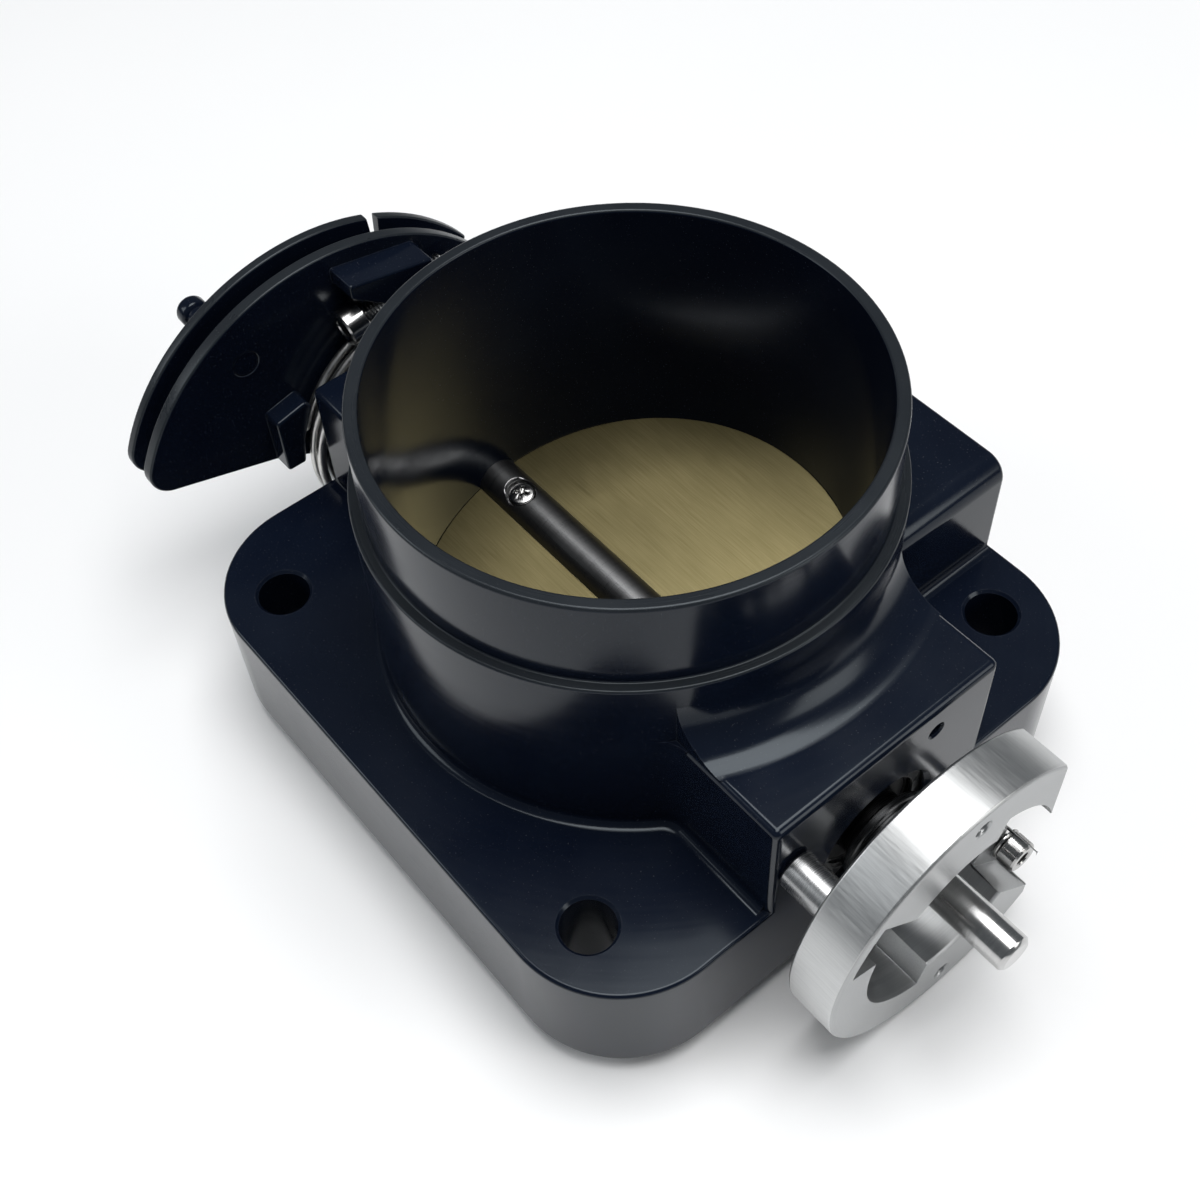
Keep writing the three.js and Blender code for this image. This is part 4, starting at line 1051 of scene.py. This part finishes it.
washer = on_shaft("wheel_washer_stamped", [
    (4.3, wheel_end - 0.3), (8.8, wheel_end - 0.3), (9, wheel_end - 0.5), (9, wheel_end - 1.4),
    (8.7, wheel_end - 1.7), (4.3, wheel_end - 1.7),
], 72)
finished(washer, ground_steel, "throttle", "wheel_washer")
nut_low, nut_high = span("wheel_nut")
nut = on_shaft("wheel_nut_hexagon", [
    (4.3, nut_low.x), (7.5, nut_low.x), (7.5, nut_high.x), (4.3, nut_high.x),
], 6)
crown = on_shaft("crown", [
    (3, nut_low.x), (6.7, nut_low.x), (7.7, nut_low.x + 0.6), (7.7, nut_high.x - 0.6), (6.7, nut_high.x),
    (3, nut_high.x),
], 96)
bore_thread = on_shaft("bore_thread", [
    (0, nut_low.x - 1), (5, nut_low.x - 1), (4.3, nut_low.x + 0.5), (4.3, nut_high.x - 0.5),
    (5, nut_high.x + 1), (0, nut_high.x + 1),
], 48)
machined(nut, [crown], "INTERSECT")
machined(nut, [bore_thread])
finished(nut, ground_steel, "throttle", "wheel_nut")
stud = turned("cable_stud_turned", [
    (0, stud_high.x), (2.8, stud_high.x), (3, stud_high.x - 0.2), (3, wheel_end - 0.3),
    (4.3, wheel_end - 0.3), (4.6, wheel_end - 0.7), (3.6, wheel_end - 7.3),
    (3.2, wheel_end - 7.8), (2.4, wheel_end - 8.1), (2.4, wheel_end - 9.5),
    (3.1, wheel_end - 10), (3.4, wheel_end - 10.5), (3.4, stud_low.x + 0.9),
    (3.1, stud_low.x + 0.3), (2.5, stud_low.x), (0, stud_low.x),
], "X", (0, *STUD), 56)
finished(stud, wheel_black, "throttle", "cable_stud", crease=40)

# ---- Stop screw ----
# A bright socket-head screw in the wheel's upper lug. Its tip meets the stop post when the
# throttle is shut, so turning it in or out sets how far the plate closes.

stop_screw = cap_screw(
    "stop_screw_cap_head", (SCREW_X, *screw_head), (0, *screw_way), (4.2, HEAD_LENGTH),
    (2.5, SCREW_LENGTH, 0.8), 2.3,
)
finished(stop_screw, ground_steel, "stop_screw", "stop_screw", crease=40)

# ---- Return spring, drum and wide-open stop ----
# A torsion spring of drawn steel wire on a black drum between the boss and the wheel, one leg in
# each. The drum turns with the wheel, and a steel pin in the boss ends the opening in its slot.

SPRING_WIRE, SPRING_TURNS = 1.05, 2
spring_turn = SPRING_TURNS * 360 + SPRING_LEG - SPRING_START
coil_start, coil_end = -73, -80.5


def wire_grain(tree):
    return placed(tree, brushed_lines, Fineness=(2600, 300, 300))["Lines"]


spring_steel = bare_metal(
    "drawn_spring_steel", (0.60, 0.59, 0.57), (0.80, 0.79, 0.76), 0.26, 0.38, wire_grain, 0.001, 0.2,
)
route = [(-68, SPRING_R, SPRING_START), (-70.2, SPRING_R, SPRING_START), (-72, SPRING_R, SPRING_START + 0.6)]
steps = round(spring_turn / 7.5)
for i in range(steps):
    part_way = (i + 0.5) / steps
    route.append((
        coil_start + (coil_end - coil_start) * part_way, SPRING_R,
        SPRING_START + part_way * (spring_turn - 6) + 3,
    ))
route += [
    (coil_end - 1, SPRING_R, SPRING_LEG - 0.6), (coil_end - 2.8, SPRING_R, SPRING_LEG),
    (coil_end - 4.4, SPRING_R, SPRING_LEG),
]
wire = bpy.data.curves.new("spring_wire", "CURVE")
wire.dimensions = "3D"
wire.bevel_depth = SPRING_WIRE * MM
wire.bevel_resolution = 4
wire.resolution_u = 3
wire.use_fill_caps = True
line = wire.splines.new("NURBS")
line.points.add(len(route) - 1)
for point, (x, radius, degrees) in zip(line.points, route):
    y, z = on_circle(radius, degrees)
    point.co = (x * MM, y * MM, z * MM, 1)
line.order_u = 4
line.use_endpoint_u = True
coil = bpy.data.objects.new("coil", wire)
scene.collection.objects.link(coil)
spring_mesh = worked_out(coil)
bpy.data.objects.remove(coil)
spring = bpy.data.objects.new("return_spring_coiled", spring_mesh)
scene.collection.objects.link(spring)
spring_mesh.materials.clear()
spring_mesh.materials.append(spring_steel)
spring_mesh.shade_smooth()
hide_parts("return_spring")
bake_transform(spring)

DRUM, DRUM_END = 26.4, -80.9
drum = on_shaft("spring_drum_turned", [
    (5.3, -HALF_X - 0.4), (DRUM - 0.4, -HALF_X - 0.4), (DRUM, -HALF_X - 0.8), (DRUM, DRUM_END + 0.4),
    (DRUM - 0.4, DRUM_END), (DRUM - 2.4, DRUM_END), (DRUM - 2.4, -74), (8, -74), (8, DRUM_END),
    (5.3, DRUM_END),
], 96)
OPENING = 80
play = math.degrees(0.4 / PIN_CIRCLE)
first, last = 270 - OPENING - play, 270 + play
stop_slot = [
    *arc(0, SHAFT_Z, PIN_CIRCLE + PIN_ROOM, first, last, 28),
    *arc(*on_circle(PIN_CIRCLE, last), PIN_ROOM, last, last + 180, 8)[1:-1],
    *arc(0, SHAFT_Z, PIN_CIRCLE - PIN_ROOM, last, first, 28),
    *arc(*on_circle(PIN_CIRCLE, first), PIN_ROOM, first + 180, first + 360, 8)[1:-1],
]
machined(drum, [extruded("stop_slot", stop_slot, -76, -HALF_X)])
finished(drum, wheel_black, "throttle", "spring_drum", edge=0.15)
pin_low, pin_high = span("wide_open_stop_pin")
pin = turned("wide_open_stop_pin_dowel", [
    (0, pin_low.x), (1.6, pin_low.x), (2, pin_low.x + 0.4), (2, pin_high.x - 0.4), (1.6, pin_high.x),
    (0, pin_high.x),
], "X", (0, *on_circle(PIN_CIRCLE, 270)), 40)
finished(pin, ground_steel, "housing", "wide_open_stop_pin")
